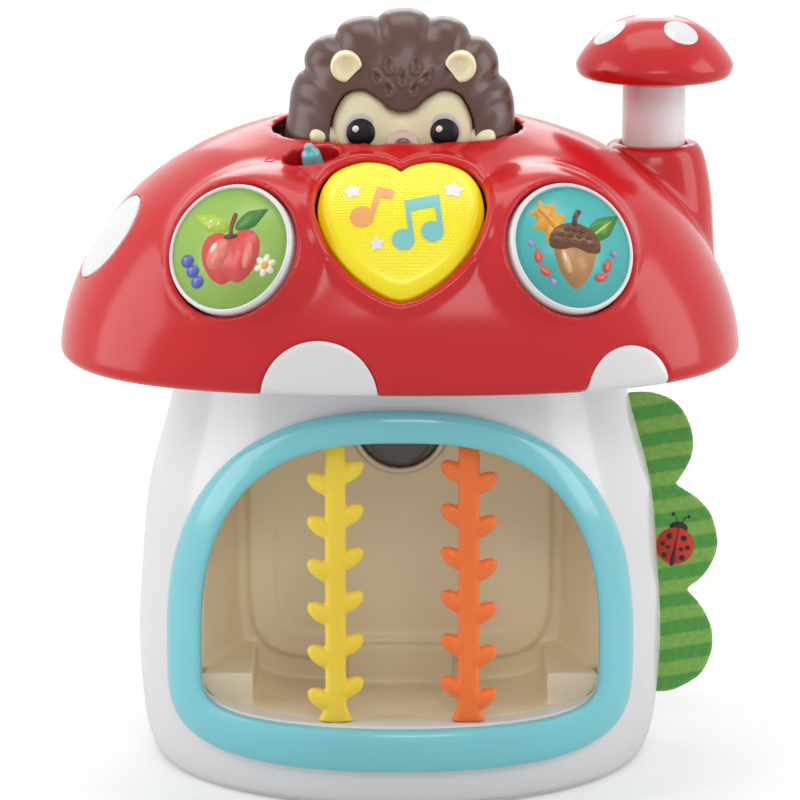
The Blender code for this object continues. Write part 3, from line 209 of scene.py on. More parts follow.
def buildFloor():
    half = studio["floorHalf"] * mm
    sheetMesh = bpy.data.meshes.new("floor")
    sheetMesh.from_pydata([(-half, -half, 0), (half, -half, 0), (half, half, 0), (-half, half, 0)], [],
                          [(0, 1, 2, 3)])
    floor = bpy.data.objects.new("floor", sheetMesh)
    bpy.context.scene.collection.objects.link(floor)
    floor.location.z = -studio["floorGap"] * mm
    paper = bpy.data.materials.new("floor paper")
    paper.use_nodes = True
    paper.node_tree.nodes.clear()
    output = addNode(paper, "ShaderNodeOutputMaterial")
    matt = addNode(paper, "ShaderNodeBsdfDiffuse", Color=(studio["floorTone"],) * 3 + (1,))
    grain = addNode(paper, "ShaderNodeTexNoise", Scale=400)
    bump = addNode(paper, "ShaderNodeBump", Strength=0.02)
    glow = addNode(paper, "ShaderNodeEmission", Color=(1, 1, 1, 1), Strength=studio["floorGlow"])
    both = addNode(paper, "ShaderNodeAddShader")
    lift = addNode(paper, "ShaderNodeMixShader")
    rays = addNode(paper, "ShaderNodeLightPath")
    # the paper thins out into the white world some way from the toy
    place = addNode(paper, "ShaderNodeTexCoord")
    far = addNode(paper, "ShaderNodeVectorMath", operation="LENGTH")
    thin = addNode(paper, "ShaderNodeMapRange", interpolation_type="SMOOTHSTEP")
    thin.inputs["From Min"].default_value = studio["fade"][0] * mm
    thin.inputs["From Max"].default_value = studio["fade"][1] * mm
    clear = addNode(paper, "ShaderNodeBsdfTransparent")
    fade = addNode(paper, "ShaderNodeMixShader")
    for joint in ((grain, "Fac", bump, "Height"), (bump, "Normal", matt, "Normal"),
                  (place, "Object", far, 0), (far, "Value", thin, "Value"), (thin, "Result", fade, 0),
                  (matt, 0, both, 0), (glow, 0, both, 1), (rays, "Is Camera Ray", lift, 0),
                  (matt, 0, lift, 1), (both, 0, lift, 2), (lift, 0, fade, 1), (clear, 0, fade, 2),
                  (fade, 0, output, "Surface")):
        link(paper, *joint)
    sheetMesh.materials.append(paper)


def buildWorld():
    # White where a ray sees it, and a weaker fill for everything else
    world = bpy.data.worlds.new("studio world")
    bpy.context.scene.world = world
    world.use_nodes = True
    world.node_tree.nodes.clear()
    output = addNode(world, "ShaderNodeOutputWorld")
    seen = addNode(world, "ShaderNodeBackground", Color=(1, 1, 1, 1))
    fill = addNode(world, "ShaderNodeBackground", Color=(1, 1, 1, 1), Strength=studio["worldFill"])
    rays = addNode(world, "ShaderNodeLightPath")
    pick = addNode(world, "ShaderNodeMixShader")
    source, socket = rays, "Is Camera Ray"
    for kind in ("Is Glossy Ray", "Is Transmission Ray"):
        either = addNode(world, "ShaderNodeMath", operation="MAXIMUM")
        link(world, source, socket, either, 0)
        link(world, rays, kind, either, 1)
        source, socket = either, 0
    for joint in ((source, socket, pick, 0), (fill, 0, pick, 1), (seen, 0, pick, 2),
                  (pick, 0, output, "Surface")):
        link(world, *joint)


def hangLamps():
    for name, (place, target, width, height, watts) in studio["lamps"].items():
        lampData = bpy.data.lights.new(name, "AREA")
        lampData.shape = "RECTANGLE"
        lampData.size = width * mm
        lampData.size_y = height * mm
        lampData.energy = watts
        lamp = bpy.data.objects.new(name, lampData)
        bpy.context.scene.collection.objects.link(lamp)
        lamp.location = Vector(place) * mm
        lamp.rotation_mode = "QUATERNION"
        lamp.rotation_quaternion = ((Vector(target) - Vector(place)) * mm).to_track_quat("-Z", "Y")


buildFloor()
buildWorld()
hangLamps()
print("studio ready")


# Making and placing meshes
def frameAt(place, axis, level=(1, 0, 0)):
    # Z along the axis, X as near level as the axis allows
    up = Vector(axis).normalized()
    side = Vector(level)
    side = (side - up * side.dot(up)).normalized()
    turn = Matrix((side, up.cross(side), up)).transposed().to_4x4()
    turn.translation = Vector(place)
    return turn


def makeObject(name, points, faces, look=None, seat=None, sharp=None):
    mesh = bpy.data.meshes.new(name)
    if seat is not None:
        points = [seat @ Vector(p) for p in points]
    mesh.from_pydata([tuple(c * mm for c in p) for p in points], [], faces)
    work = bmesh.new()
    work.from_mesh(mesh)
    bmesh.ops.recalc_face_normals(work, faces=work.faces)
    work.to_mesh(mesh)
    work.free()
    mesh.shade_smooth()
    if sharp is not None:
        mesh.set_sharp_from_angle(angle=math.radians(sharp))
    made = bpy.data.objects.new(name, mesh)
    bpy.context.scene.collection.objects.link(made)
    if look is not None:
        mesh.materials.append(look)
    return made


def loftFaces(ringCount, size, closed=False, capped=True):
    faces = []
    for i in range(ringCount if closed else ringCount - 1):
        here = i * size
        there = ((i + 1) % ringCount) * size
        for k in range(size):
            n = (k + 1) % size
            faces.append((here + k, here + n, there + n, there + k))
    if capped and not closed:
        faces.append(tuple(reversed(range(size))))
        faces.append(tuple(range((ringCount - 1) * size, ringCount * size)))
    return faces


def loft(name, rings, look=None, seat=None, closed=False, sharp=None, capped=True):
    points = [p for ring in rings for p in ring]
    return makeObject(name, points, loftFaces(len(rings), len(rings[0]), closed, capped), look, seat, sharp)


def smoothRows(rows, parts, closed=False):
    # Catmull-Rom curve through rows of numbers
    found = []
    count = len(rows)
    last = count if closed else count - 1
    for i in range(last):
        if closed:
            four = [rows[(i + k) % count] for k in (-1, 0, 1, 2)]
        else:
            four = [rows[max(i - 1, 0)], rows[i], rows[i + 1], rows[min(i + 2, count - 1)]]
        for k in range(parts):
            t = k / parts
            found.append(tuple(
                0.5 * (2 * b + (c - a) * t + (2 * a - 5 * b + 4 * c - d) * t * t
                       + (3 * b - a - 3 * c + d) * t ** 3)
                for a, b, c, d in zip(*four)))
    if not closed:
        found.append(tuple(rows[-1]))
    return found


def lathe(name, profile, look=None, seat=None, count=96, parts=1, sharp=None):
    # A profile of (radius, height) from axis to axis, or a closed loop off the axis
    onAxis = profile[0][0] == 0
    if parts > 1:
        profile = smoothRows(profile, parts)
    points = []
    rings = []
    for radius, height in profile:
        start = len(points)
        if radius < 1e-6:
            points.append((0, 0, height))
            rings.append([start] * count)
        else:
            for k in range(count):
                a = math.tau * k / count
                points.append((radius * math.cos(a), radius * math.sin(a), height))
            rings.append(list(range(start, start + count)))
    faces = []
    for i in range(len(rings) - 1 if onAxis else len(rings)):
        here = rings[i]
        there = rings[(i + 1) % len(rings)]
        for k in range(count):
            n = (k + 1) % count
            corners = list(dict.fromkeys((here[k], here[n], there[n], there[k])))
            if len(corners) > 2:
                faces.append(tuple(corners))
    return makeObject(name, points, faces, look, seat, sharp)


def rounded(angle, halfX, halfY, power):
    c, s = math.cos(angle), math.sin(angle)
    return (math.copysign(abs(c) ** (2 / power), c) * halfX, math.copysign(abs(s) ** (2 / power), s) * halfY)


def roundedOutline(count, halfX, halfY, power):
    return [rounded(math.tau * (k + 0.5) / count, halfX, halfY, power) for k in range(count)]


def mirrored(half, parts):
    # A smooth closed outline from its right half, top to bottom
    smooth = smoothRows(half, parts)
    return smooth + [(-x, y) for x, y in reversed(smooth[1:-1])]


def chained(curves, parts):
    # Curves that share their end points, as one line with a corner at each end
    points = []
    for curve in curves:
        points += smoothRows(curve, parts)[:-1]
    return points + [curves[-1][-1]]


def bearing(x, y, count):
    # Which of a number of even directions a point lies in
    return int(math.degrees(math.atan2(y, x)) % 360 * (count / 360)) % count


def prism(name, outline, low, high, look=None, seat=None):
    return loft(name, [[(x, y, low) for x, y in outline], [(x, y, high) for x, y in outline]], look, seat)


def block(name, low, high, look=None, seat=None):
    outline = ((low[0], low[1]), (high[0], low[1]), (high[0], high[1]), (low[0], high[1]))
    return prism(name, outline, low[2], high[2], look, seat)


def applyModifiers(made):
    graph = bpy.context.evaluated_depsgraph_get()
    fresh = bpy.data.meshes.new_from_object(made.evaluated_get(graph))
    made.modifiers.clear()
    made.data = fresh


def crisp(made, angle):
    made.data.shade_smooth()
    made.data.set_sharp_from_angle(angle=math.radians(angle))


def weld(made):
    work = bmesh.new()
    work.from_mesh(made.data)
    bmesh.ops.remove_doubles(work, verts=work.verts, dist=0.02 * mm)
    work.to_mesh(made.data)
    work.free()


def throwAway(made):
    bpy.data.objects.remove(made, do_unlink=True)


def combine(target, tools, operation):
    for tool in tools:
        step = target.modifiers.new("cut", "BOOLEAN")
        step.operation = operation
        step.object = tool
        step.solver = "EXACT"
    applyModifiers(target)
    for tool in tools:
        throwAway(tool)


def melt(made, voxel, rounds):
    # One skin of even small quads, whose edges are then rubbed soft
    step = made.modifiers.new("skin", "REMESH")
    step.mode = "VOXEL"
    step.voxel_size = voxel * mm
    step.use_smooth_shade = True
    rub = made.modifiers.new("rub", "SMOOTH")
    rub.factor = 0.5
    rub.iterations = rounds
    applyModifiers(made)


def slab(made, axis, side, limit):
    # Cuts everything away beyond a plane and closes the cut
    work = bmesh.new()
    work.from_mesh(made.data)
    normal = [0, 0, 0]
    normal[axis] = side
    place = [0, 0, 0]
    place[axis] = limit * mm
    cutAll = bmesh.ops.bisect_plane(work, geom=work.verts[:] + work.edges[:] + work.faces[:], dist=1e-7,
                                    plane_co=place, plane_no=normal, clear_outer=True)
    rim = [e for e in cutAll["geom_cut"] if isinstance(e, bmesh.types.BMEdge)]
    bmesh.ops.triangle_fill(work, edges=rim, use_beauty=True)
    for face in work.faces:
        face.smooth = True
    bmesh.ops.recalc_face_normals(work, faces=work.faces)
    work.to_mesh(made.data)
    work.free()


def piece(made, look, body="house", replaces=()):
    if look is not None:
        made.data.materials.clear()
        made.data.materials.append(look)
    if body is not None:
        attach(made, body)
    if replaces:
        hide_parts(*replaces)
    return made


def join(name, parts):
    # Several loose solids as one object, with their own materials kept
    work = bmesh.new()
    looks = []
    for part in parts:
        before = len(work.faces)
        work.from_mesh(part.data)
        work.faces.ensure_lookup_table()
        own = part.data.materials[0] if part.data.materials else None
        if own not in looks:
            looks.append(own)
        for face in work.faces[before:]:
            face.material_index = looks.index(own)
    mesh = bpy.data.meshes.new(name)
    work.to_mesh(mesh)
    work.free()
    for own in looks:
        mesh.materials.append(own)
    for part in parts:
        throwAway(part)
    made = bpy.data.objects.new(name, mesh)
    bpy.context.scene.collection.objects.link(made)
    return made


# The cap: outlines from its rim up to its crown
cap = {
    # height, half width, half depth, middle in y, roundness
    "rows": ((146.6, 116.0, 80.3, 0, 2.6), (148.4, 118.3, 82.7, 0, 2.6), (151.5, 119.0, 83.5, 0, 2.6),
             (162, 117.2, 82.2, 0, 2.55), (175, 112.4, 78.8, 0, 2.45), (191, 103.0, 71.4, 0, 2.35),
             (205.6, 89.6, 61.4, 0.2, 2.25), (217.5, 72, 48.2, 2.4, 2.1), (223.6, 58, 35.6, 2.8, 2.0),
             (227.4, 46, 24, 2.6, 2.0), (229.6, 36, 14, 2.5, 2.0)),
    "wall": 2.6, "hollowFoot": 140.0, "seamY": 18.0, "seam": 0.3, "around": 320, "skin": 0.85, "rub": 6,
    # reach of the rounding between dome and chimney, the heights over which it fades out, rounds
    "valley": 4.0, "valleyTop": (203, 208), "valleyRounds": 60,
    "nest": {"x": -1.0, "y": -8.0, "halfX": 43.0, "halfY": 22.3, "power": 1.98},
    "chimney": {"x": 90.3, "y": 26.0, "bore": 12.0,
                "profile": ((0, 160), (25.0, 160), (23.4, 168), (22.4, 176), (21.8, 185), (21.2, 194),
                            (20.2, 202), (18.9, 208.2), (17.9, 211.6), (16.9, 213.8), (15.6, 215.2),
                            (14.2, 215.7), (0, 215.7))},
    "buttons": {"left": ((-56.4, -63.2, 193.2), (-0.39, -0.808, 0.44)),
                "right": ((57.2, -63.0, 193.6), (0.39, -0.808, 0.44))},
    # radius and height round a button
    "collar": ((22.0, -16), (22.0, -6), (22.9, -0.8), (23.9, 0.5), (25.0, 0.4), (26.2, -0.8), (28.5, -3.0),
               (31.5, -7.2), (35, -13.5), (38, -20), (40, -26)),
    "moat": ((0, -15), (23.0, -15), (23.0, -2.0), (23.2, -1.2), (23.7, -0.2), (24.2, 1.0), (24.8, 12),
             (0, 12)),
    # radius, height and half width; then where a collar's smoothing starts, is full, fades and ends
    "groove": (26.8, 1.1, 1.35), "blend": (26.8, 30, 42, 50), "blendRounds": 90,
    "heart": ((0.3, -61.5, 199.5), (0, -0.758, 0.652)), "heartGap": 0.9,
    # distance, half width and height of the lip round the heart, and the outline that smoothing keeps
    "heartLip": (2.6, 1.9, 1.15), "heartKeep": 5.6,
    "slot": ((-30.3, -34.5, 220.5), (-0.22, -0.33, 0.92)), "slotLength": 18.8, "slotWidth": 10.4,
    "pocketWall": 3, "nestRounds": 26, "nestReach": 0.12,
    "spots": {"front_left_spot": ((-27, -80, 146), (0, -1, 0), 19.6),
              "front_right_spot": ((74.6, -66, 146.6), (0.45, -0.89, 0), 15.2),
              "side_left_spot": ((-102.0, -18, 190.5), (-0.78, -0.26, 0.57), 16.8),
              "upper_left_spot": ((-71, 20, 216), (-0.4, 0.3, 0.87), 13.0),
              "rear_left_spot": ((-62, 66, 176), (-0.3, 0.9, 0.3), 16.0),
              "rear_right_spot": ((56, 72, 166), (0.2, 0.95, 0.2), 13.5)},
    "spotGap": 0.25, "spotDeep": 1.7,
    "grille": {"y": 68, "z": 172, "slots": 5, "pitch": 6.4, "width": 2.6, "half": 12.0, "taper": 1.6},
}
heartHalf = ((0, 22.8), (4.6, 26.3), (12.9, 27.9), (21.4, 24.3), (25.8, 18.0), (27.5, 11.7), (27.9, 5.5),
             (26.5, -0.6), (24.1, -6.2), (20.5, -11.7), (15.5, -17.3), (9.6, -21.8), (3.8, -24.8), (0, -25.6))


def insetRows(rows, depth):
    moved = []
    for i, row in enumerate(rows):
        low = rows[max(i - 1, 0)]
        high = rows[min(i + 1, len(rows) - 1)]
        climb, side, front = high[0] - low[0], high[1] - low[1], high[2] - low[2]
        sideLength = math.hypot(climb, side)
        frontLength = math.hypot(climb, front)
        lift = 0.5 * (side / sideLength + front / frontLength)
        moved.append((row[0] + depth * lift, row[1] - depth * climb / sideLength,
                      row[2] - depth * climb / frontLength, *row[3:]))
    return moved


def capRings(depth=0.0, parts=6, foot=None):
    rows = insetRows(smoothRows(cap["rows"], parts), depth)
    if foot is not None:
        rows = [row for row in rows if row[0] > foot + 0.5]
        rows = [(foot, *rows[0][1:])] + rows
    rings = []
    for height, halfX, halfY, middle, power in rows:
        rings.append([(x, y + middle, height)
                      for x, y in roundedOutline(cap["around"], halfX, halfY, power)])
    return rings


def heartOutline(grow=0.0, parts=8):
    spread = 1 + grow / 27
    return [(x * spread, y * spread) for x, y in mirrored(heartHalf, parts)]


def stadium(length, width, count=16):
    radius = 0.5 * width
    reach = 0.5 * length - radius
    points = []
    for side in (1, -1):
        for k in range(count):
            a = -0.5 * math.pi + math.pi * k / (count - 1)
            points.append((side * (reach + radius * math.cos(a)), side * radius * math.sin(a)))
    return points


def circle(radius, count=64, middle=(0, 0)):
    return [(middle[0] + radius * math.cos(math.tau * k / count),
             middle[1] + radius * math.sin(math.tau * k / count)) for k in range(count)]


def radiusAround(outline, middle, count):
    # Distance from the middle to a closed outline, at even angles
    found = []
    closed = outline + [outline[0]]
    for k in range(count):
        a = math.tau * (k + 0.5) / count
        dx, dz = math.cos(a), math.sin(a)
        best = 0
        for (x0, z0), (x1, z1) in zip(closed, closed[1:]):
            x0, z0, x1, z1 = x0 - middle[0], z0 - middle[1], x1 - middle[0], z1 - middle[1]
            cross = dx * (z1 - z0) - dz * (x1 - x0)
            if abs(cross) < 1e-9:
                continue
            t = (x0 * (z1 - z0) - z0 * (x1 - x0)) / cross
            s = (x0 * dz - z0 * dx) / cross
            if t > 0 and -1e-9 <= s <= 1 + 1e-9:
                best = max(best, t)
        found.append(best)
    return found


def surfaceTree(made):
    graph = bpy.context.evaluated_depsgraph_get()
    return BVHTree.FromObject(made, graph)


def dropOn(tree, seat, x, y, reach=40.0):
    # Height in the seat's frame at which the surface stands over a point, or None
    start = seat @ Vector((x, y, reach))
    hit = tree.ray_cast(start * mm, -(seat.to_3x3() @ Vector((0, 0, 1))), 2 * reach * mm)
    if hit[0] is None:
        return None
    return (seat.inverted() @ (hit[0] / mm)).z


def raiseLip(made):
    # A soft lip round the heart's opening
    seat = frameAt(*cap["heart"])
    back, axis = seat.inverted(), seat.to_3x3() @ Vector((0, 0, 1))
    edge = radiusAround(heartOutline(cap["heartGap"]), (0, 0), 720)
    away, half, height = cap["heartLip"]
    for vert, normal in zip(made.data.vertices, [v.normal.copy() for v in made.data.vertices]):
        if normal.dot(axis) < 0.25 or vert.co.y > -0.02:
            continue
        local = back @ (vert.co / mm)
        far = math.hypot(local.x, local.y) - edge[bearing(local.x, local.y, 720)]
        if -0.5 < far < 9:
            vert.co += axis * height * math.exp(-((far - away) / half) ** 2) * mm


def rubWhere(made, share, rounds):
    # Rubs part of a mesh smooth: share(place) says how much, from 0 to 1
    made.vertex_groups.clear()  # those of an earlier call
    group = made.vertex_groups.new(name="rub")
    for vert in made.data.vertices:
        amount = share(vert.co)
        if amount > 0:
            group.add([vert.index], amount, "REPLACE")
    rub = made.modifiers.new("rub", "SMOOTH")
    rub.vertex_group = group.name
    rub.factor = 0.5
    rub.iterations = rounds
    applyModifiers(made)


def clamp(value):
    return min(max(value, 0), 1)


def nestShare(place):
    # 1 on the edge of the hedgehog's opening, less inside it
    nest = cap["nest"]
    return math.hypot((place.x / mm - nest["x"]) / nest["halfX"], (place.y / mm - nest["y"]) / nest["halfY"])


def softenCap(made, domeTree, stackTree):
    # A round valley between dome and chimney, no crease where the collars run out, soft nest edge
    reach = cap["valley"] * mm
    start, end = cap["valleyTop"]

    def valley(place):
        if place.x < 0.055 or place.y < -0.01 or place.z < 0.165:
            return 0
        far = max(domeTree.find_nearest(place)[3], stackTree.find_nearest(place)[3])
        return max(1 - (far / reach) ** 2, 0) * clamp((end - place.z / mm) / (end - start))

    rubWhere(made, valley, cap["valleyRounds"])
    near, full, fade, gone = cap["blend"]
    seats = [frameAt(*spec).inverted() for spec in cap["buttons"].values()]
    heartBack, slotBack = frameAt(*cap["heart"]).inverted(), frameAt(*cap["slot"]).inverted()
    lip = radiusAround(heartOutline(cap["heartKeep"]), (0, 0), 360)

    def shoulder(place):
        if place.y > 0.0 or place.z < 0.152:
            return 0
        best = 0
        for seat in seats:
            local = seat @ (place / mm)
            far = math.hypot(local.x, local.y)
            if far <= near:
                return 0
            if local.z > -30 and far < gone:
                best = max(best, min((far - near) / (full - near), 1) * min((gone - far) / (gone - fade), 1))
        if best > 0:
            # heart lip, slot, nest and spots keep their edges
            local = heartBack @ (place / mm)
            best *= clamp((math.hypot(local.x, local.y) - lip[bearing(local.x, local.y, 360)]) / 3.0)
            local = slotBack @ (place / mm)
            best *= clamp((math.hypot(local.x, local.y * 1.6) - 12.5) / 4.0)
            best *= clamp((nestShare(place) - 1.06) / 0.1)
            for spot, _, radius in cap["spots"].values():
                if (place / mm - Vector(spot)).length < radius + 3:
                    return 0
        return best

    rubWhere(made, shoulder, cap["blendRounds"])

    def nestEdge(place):
        if place.z < 0.205:
            return 0
        return max(1 - abs(nestShare(place) - 1.0) / cap["nestReach"], 0)

    rubWhere(made, nestEdge, cap["nestRounds"])


def splitAtSeam(made):
    # The object stays the front; its rear is returned
    rear = made.copy()
    rear.data = made.data.copy()
    bpy.context.scene.collection.objects.link(rear)
    slab(made, 1, 1, cap["seamY"] - 0.5 * cap["seam"])
    slab(rear, 1, -1, cap["seamY"] + 0.5 * cap["seam"])
    return rear


def buildCap():
    dome = loft("capDome", capRings())
    tree = surfaceTree(dome)
    chimney = cap["chimney"]
    chimneySeat = frameAt((chimney["x"], chimney["y"], 0), (0, 0, 1))
    lips = [lathe("collar", cap["collar"], None, frameAt(place, axis), 128)
            for place, axis in cap["buttons"].values()]
    combine(dome, lips, "UNION")
    stack = lathe("chimney", chimney["profile"], None, chimneySeat, 96)
    stackTree = surfaceTree(stack)
    combine(dome, [stack], "UNION")
    nest = cap["nest"]
    nestOutline = [(nest["x"] + x, nest["y"] + y)
                   for x, y in roundedOutline(160, nest["halfX"], nest["halfY"], nest["power"])]
    bore = chimney["bore"]
    slotSeat, length, width = frameAt(*cap["slot"]), cap["slotLength"], cap["slotWidth"]
    combine(dome, [loft("hollow", capRings(cap["wall"], 3, cap["hollowFoot"]))], "DIFFERENCE")
    combine(dome, [prism("pocket", stadium(length + cap["pocketWall"], width + cap["pocketWall"]),
                         -7.6, -0.8, None, slotSeat)], "UNION")
    tools = [
        prism("nest", nestOutline, 200, 262),
        lathe("bore", ((0, 164), (19, 164), (17, 193), (14.6, 211), (bore, 212.4), (bore, 222), (0, 222)),
              None, chimneySeat, 96),
        prism("slot", stadium(length, width), -6.8, 8, None, slotSeat),
        prism("heart", heartOutline(cap["heartGap"]), -17, 14, None, frameAt(*cap["heart"])),
    ]
    grooveRadius, grooveHeight, grooveHalf = cap["groove"]
    for place, axis in cap["buttons"].values():
        tools.append(lathe("moat", cap["moat"], None, frameAt(place, axis), 128))
        tools.append(lathe("groove", circle(grooveHalf, 16, (grooveRadius, grooveHeight)), None,
                           frameAt(place, axis), 128))
    grille = cap["grille"]
    for k in range(grille["slots"]):
        offset = k - 0.5 * (grille["slots"] - 1)
        half = grille["half"] - grille["taper"] * abs(offset)
        seat = frameAt((offset * grille["pitch"], grille["y"], grille["z"]), (0, 1, 0))
        tools.append(prism("grille", [(y, x) for x, y in stadium(2 * half, grille["width"], 8)], 0, 40,
                           None, seat))
    for place, axis, radius in cap["spots"].values():
        recess = prism("spotSeat", circle(radius + cap["spotGap"], 96), -12, 14, None, frameAt(place, axis))
        combine(recess, [loft("core", capRings(cap["spotDeep"], 2, cap["hollowFoot"]))], "DIFFERENCE")
        tools.append(recess)
    combine(dome, tools, "DIFFERENCE")
    melt(dome, cap["skin"], cap["rub"])
    softenCap(dome, tree, stackTree)
    raiseLip(dome)
    rear = splitAtSeam(dome)
    dome.name = "frontCapShell"
    rear.name = "rearCapShell"
    piece(dome, redShell, "house", ("front_cap_shell",))
    piece(rear, redShell, "house", ("rear_cap_shell",))
    return tree


capTree = buildCap()


# White spots let into the cap
spotFit = {"rise": 0.3, "thick": 1.5, "columns": 72, "floor": 147.2, "roll": 0.35, "edge": 0.45}


def buildSpots(tree):
    for name, (place, axis, radius) in cap["spots"].items():
        seat = frameAt(place, axis)
        count = spotFit["columns"]
        upright = seat.to_3x3() @ Vector((0, 1, 0))
        top, bottom = [], []
        for i in range(count + 1):
            x = -radius * math.cos(math.pi * i / count)
            high = math.sqrt(max(radius * radius - x * x, 0))
            low = -high
            if abs(upright.z) > 0.9 and abs(axis[2]) < 0.01:
                low = max(low, spotFit["floor"] - place[2])
                high = max(high, low + 0.02)
            for j in range(count + 1):
                y = 0.5 * (low + high) - 0.5 * (high - low) * math.cos(math.pi * j / count)
                edge = min(radius - math.hypot(x, y), y - low + 0.4 if low > -high else 99)
                z = dropOn(tree, seat, x, y)
                if z is None:
                    z = top[-1][2] if top else 0.0
                roll = spotFit["roll"] * math.exp(-max(edge, 0) / spotFit["edge"])
                top.append((x, y, z + spotFit["rise"] - roll))
                bottom.append((x, y, z - spotFit["thick"]))
        size = count + 1
        faces = []
        for i in range(count):
            for j in range(count):
                a = i * size + j
                faces.append((a, a + size, a + size + 1, a + 1))
        faces += [tuple(k + size * size for k in reversed(face)) for face in faces]
        rim = ([i * size for i in range(size)] + [count * size + j for j in range(1, size)]
               + [i * size + count for i in range(count - 1, -1, -1)] + list(range(count - 1, 0, -1)))
        for k, a in enumerate(rim):
            b = rim[(k + 1) % len(rim)]
            faces.append((a, b, b + size * size, a + size * size))
        words = name.split("_")
        made = makeObject(words[0] + words[1].title() + "Spot", top + bottom, faces, None, seat, 50)
        weld(made)
        piece(made, whiteGloss, "house", (name,))


buildSpots(capTree)
print("spots ready")


# The trunk with its doorway, and the rear with its battery door
trunk = {
    # height, half width, half depth
    "rows": ((0.8, 85.5, 71.5), (3.5, 88.6, 74.5), (15, 91.7, 76.5), (42, 93.5, 78), (68, 92.1, 77),
             (98, 89.1, 74.5), (127, 81.5, 69), (146.3, 78, 66.5)),
    "power": 2.05, "wall": 2.4, "around": 288, "parts": 8,
    "battery": {"z": 72, "halfX": 21, "halfZ": 26.5, "power": 8, "screwZ": 92, "gap": 0.3},
    "caseScrews": ((-62, 60, 28), (62, 60, 28)), "notch": ((70, 16.9, 28), (110, 19.1, 122)),
    "crease": 32,
}
trunk["fine"] = smoothRows(trunk["rows"], trunk["parts"])
doorway = {
    "waist": 52, "inner": {"half": 68.6, "up": 76.3, "down": 22, "top": 2.5, "foot": 6.5},
    "outer": {"half": 81.4, "up": 86.9, "down": 37.5, "top": 2.3, "foot": 5.0},
    "turnWeight": 40.0, "ring": 5.2, "ringBack": 0.8, "lipDepth": 9.0, "lipWall": 2.0, "points": 300,
}


def trunkSize(z):
    rows = trunk["fine"]
    for low, high in zip(rows, rows[1:]):
        if z <= high[0]:
            break
    share = min(max((z - low[0]) / (high[0] - low[0]), 0), 1)
    return low[1] + (high[1] - low[1]) * share, low[2] + (high[2] - low[2]) * share


def trunkFront(x, z):
    halfX, halfY = trunkSize(z)
    share = min(abs(x) / halfX, 0.999) ** trunk["power"]
    return -halfY * (1 - share) ** (1 / trunk["power"])


def trunkSide(y, z):
    halfX, halfY = trunkSize(z)
    return halfX * (1 - (abs(y) / halfY) ** trunk["power"]) ** (1 / trunk["power"])


def doorPoint(angle, spec, grow=0.0):
    height, power = (spec["up"], spec["top"]) if math.sin(angle) > 0 else (spec["down"], spec["foot"])
    x, z = rounded(angle, spec["half"] + grow, height + grow, power)
    return x, z + doorway["waist"]


def doorPath(spec, grow=0.0, count=None):
    # The doorway's outline from the middle of its sill, with closer points where it turns faster
    count = count or doorway["points"]
    fine = 2400
    points = [doorPoint(math.tau * (k / fine - 0.25), spec, grow) for k in range(fine + 1)]
    travel = [0.0]
    heading = 0.0
    for (x0, z0), (x1, z1) in zip(points, points[1:]):
        turn = math.atan2(z1 - z0, x1 - x0) - heading
        turn = abs((turn + math.pi) % math.tau - math.pi)
        heading = math.atan2(z1 - z0, x1 - x0)
        travel.append(travel[-1] + math.hypot(x1 - x0, z1 - z0) + doorway["turnWeight"] * turn)
    path = []
    step = 0
    for k in range(count):
        target = travel[-1] * (k + 0.5) / count
        while travel[step + 1] < target:
            step += 1
        share = (target - travel[step]) / (travel[step + 1] - travel[step])
        path.append(tuple(a + (b - a) * share for a, b in zip(points[step], points[step + 1])))
    return path


def trunkRings(depth, low, high, parts=None):
    rows = [row for row in insetRows(smoothRows(trunk["rows"], parts or trunk["parts"]), depth)
            if low + 0.3 < row[0] < high - 0.3]
    rows = [(low, *rows[0][1:]), *rows, (high, *rows[-1][1:])]
    return [[(x, y, z) for x, y in roundedOutline(trunk["around"], halfX, halfY, trunk["power"])]
            for z, halfX, halfY in rows]


def batteryPrism(name, grow, low, high):
    spec = trunk["battery"]
    outline = roundedOutline(120, spec["halfX"] + grow, spec["halfZ"] + grow, spec["power"])
    return prism(name, outline, -high, -low, None, frameAt((0, 0, spec["z"]), (0, -1, 0)))


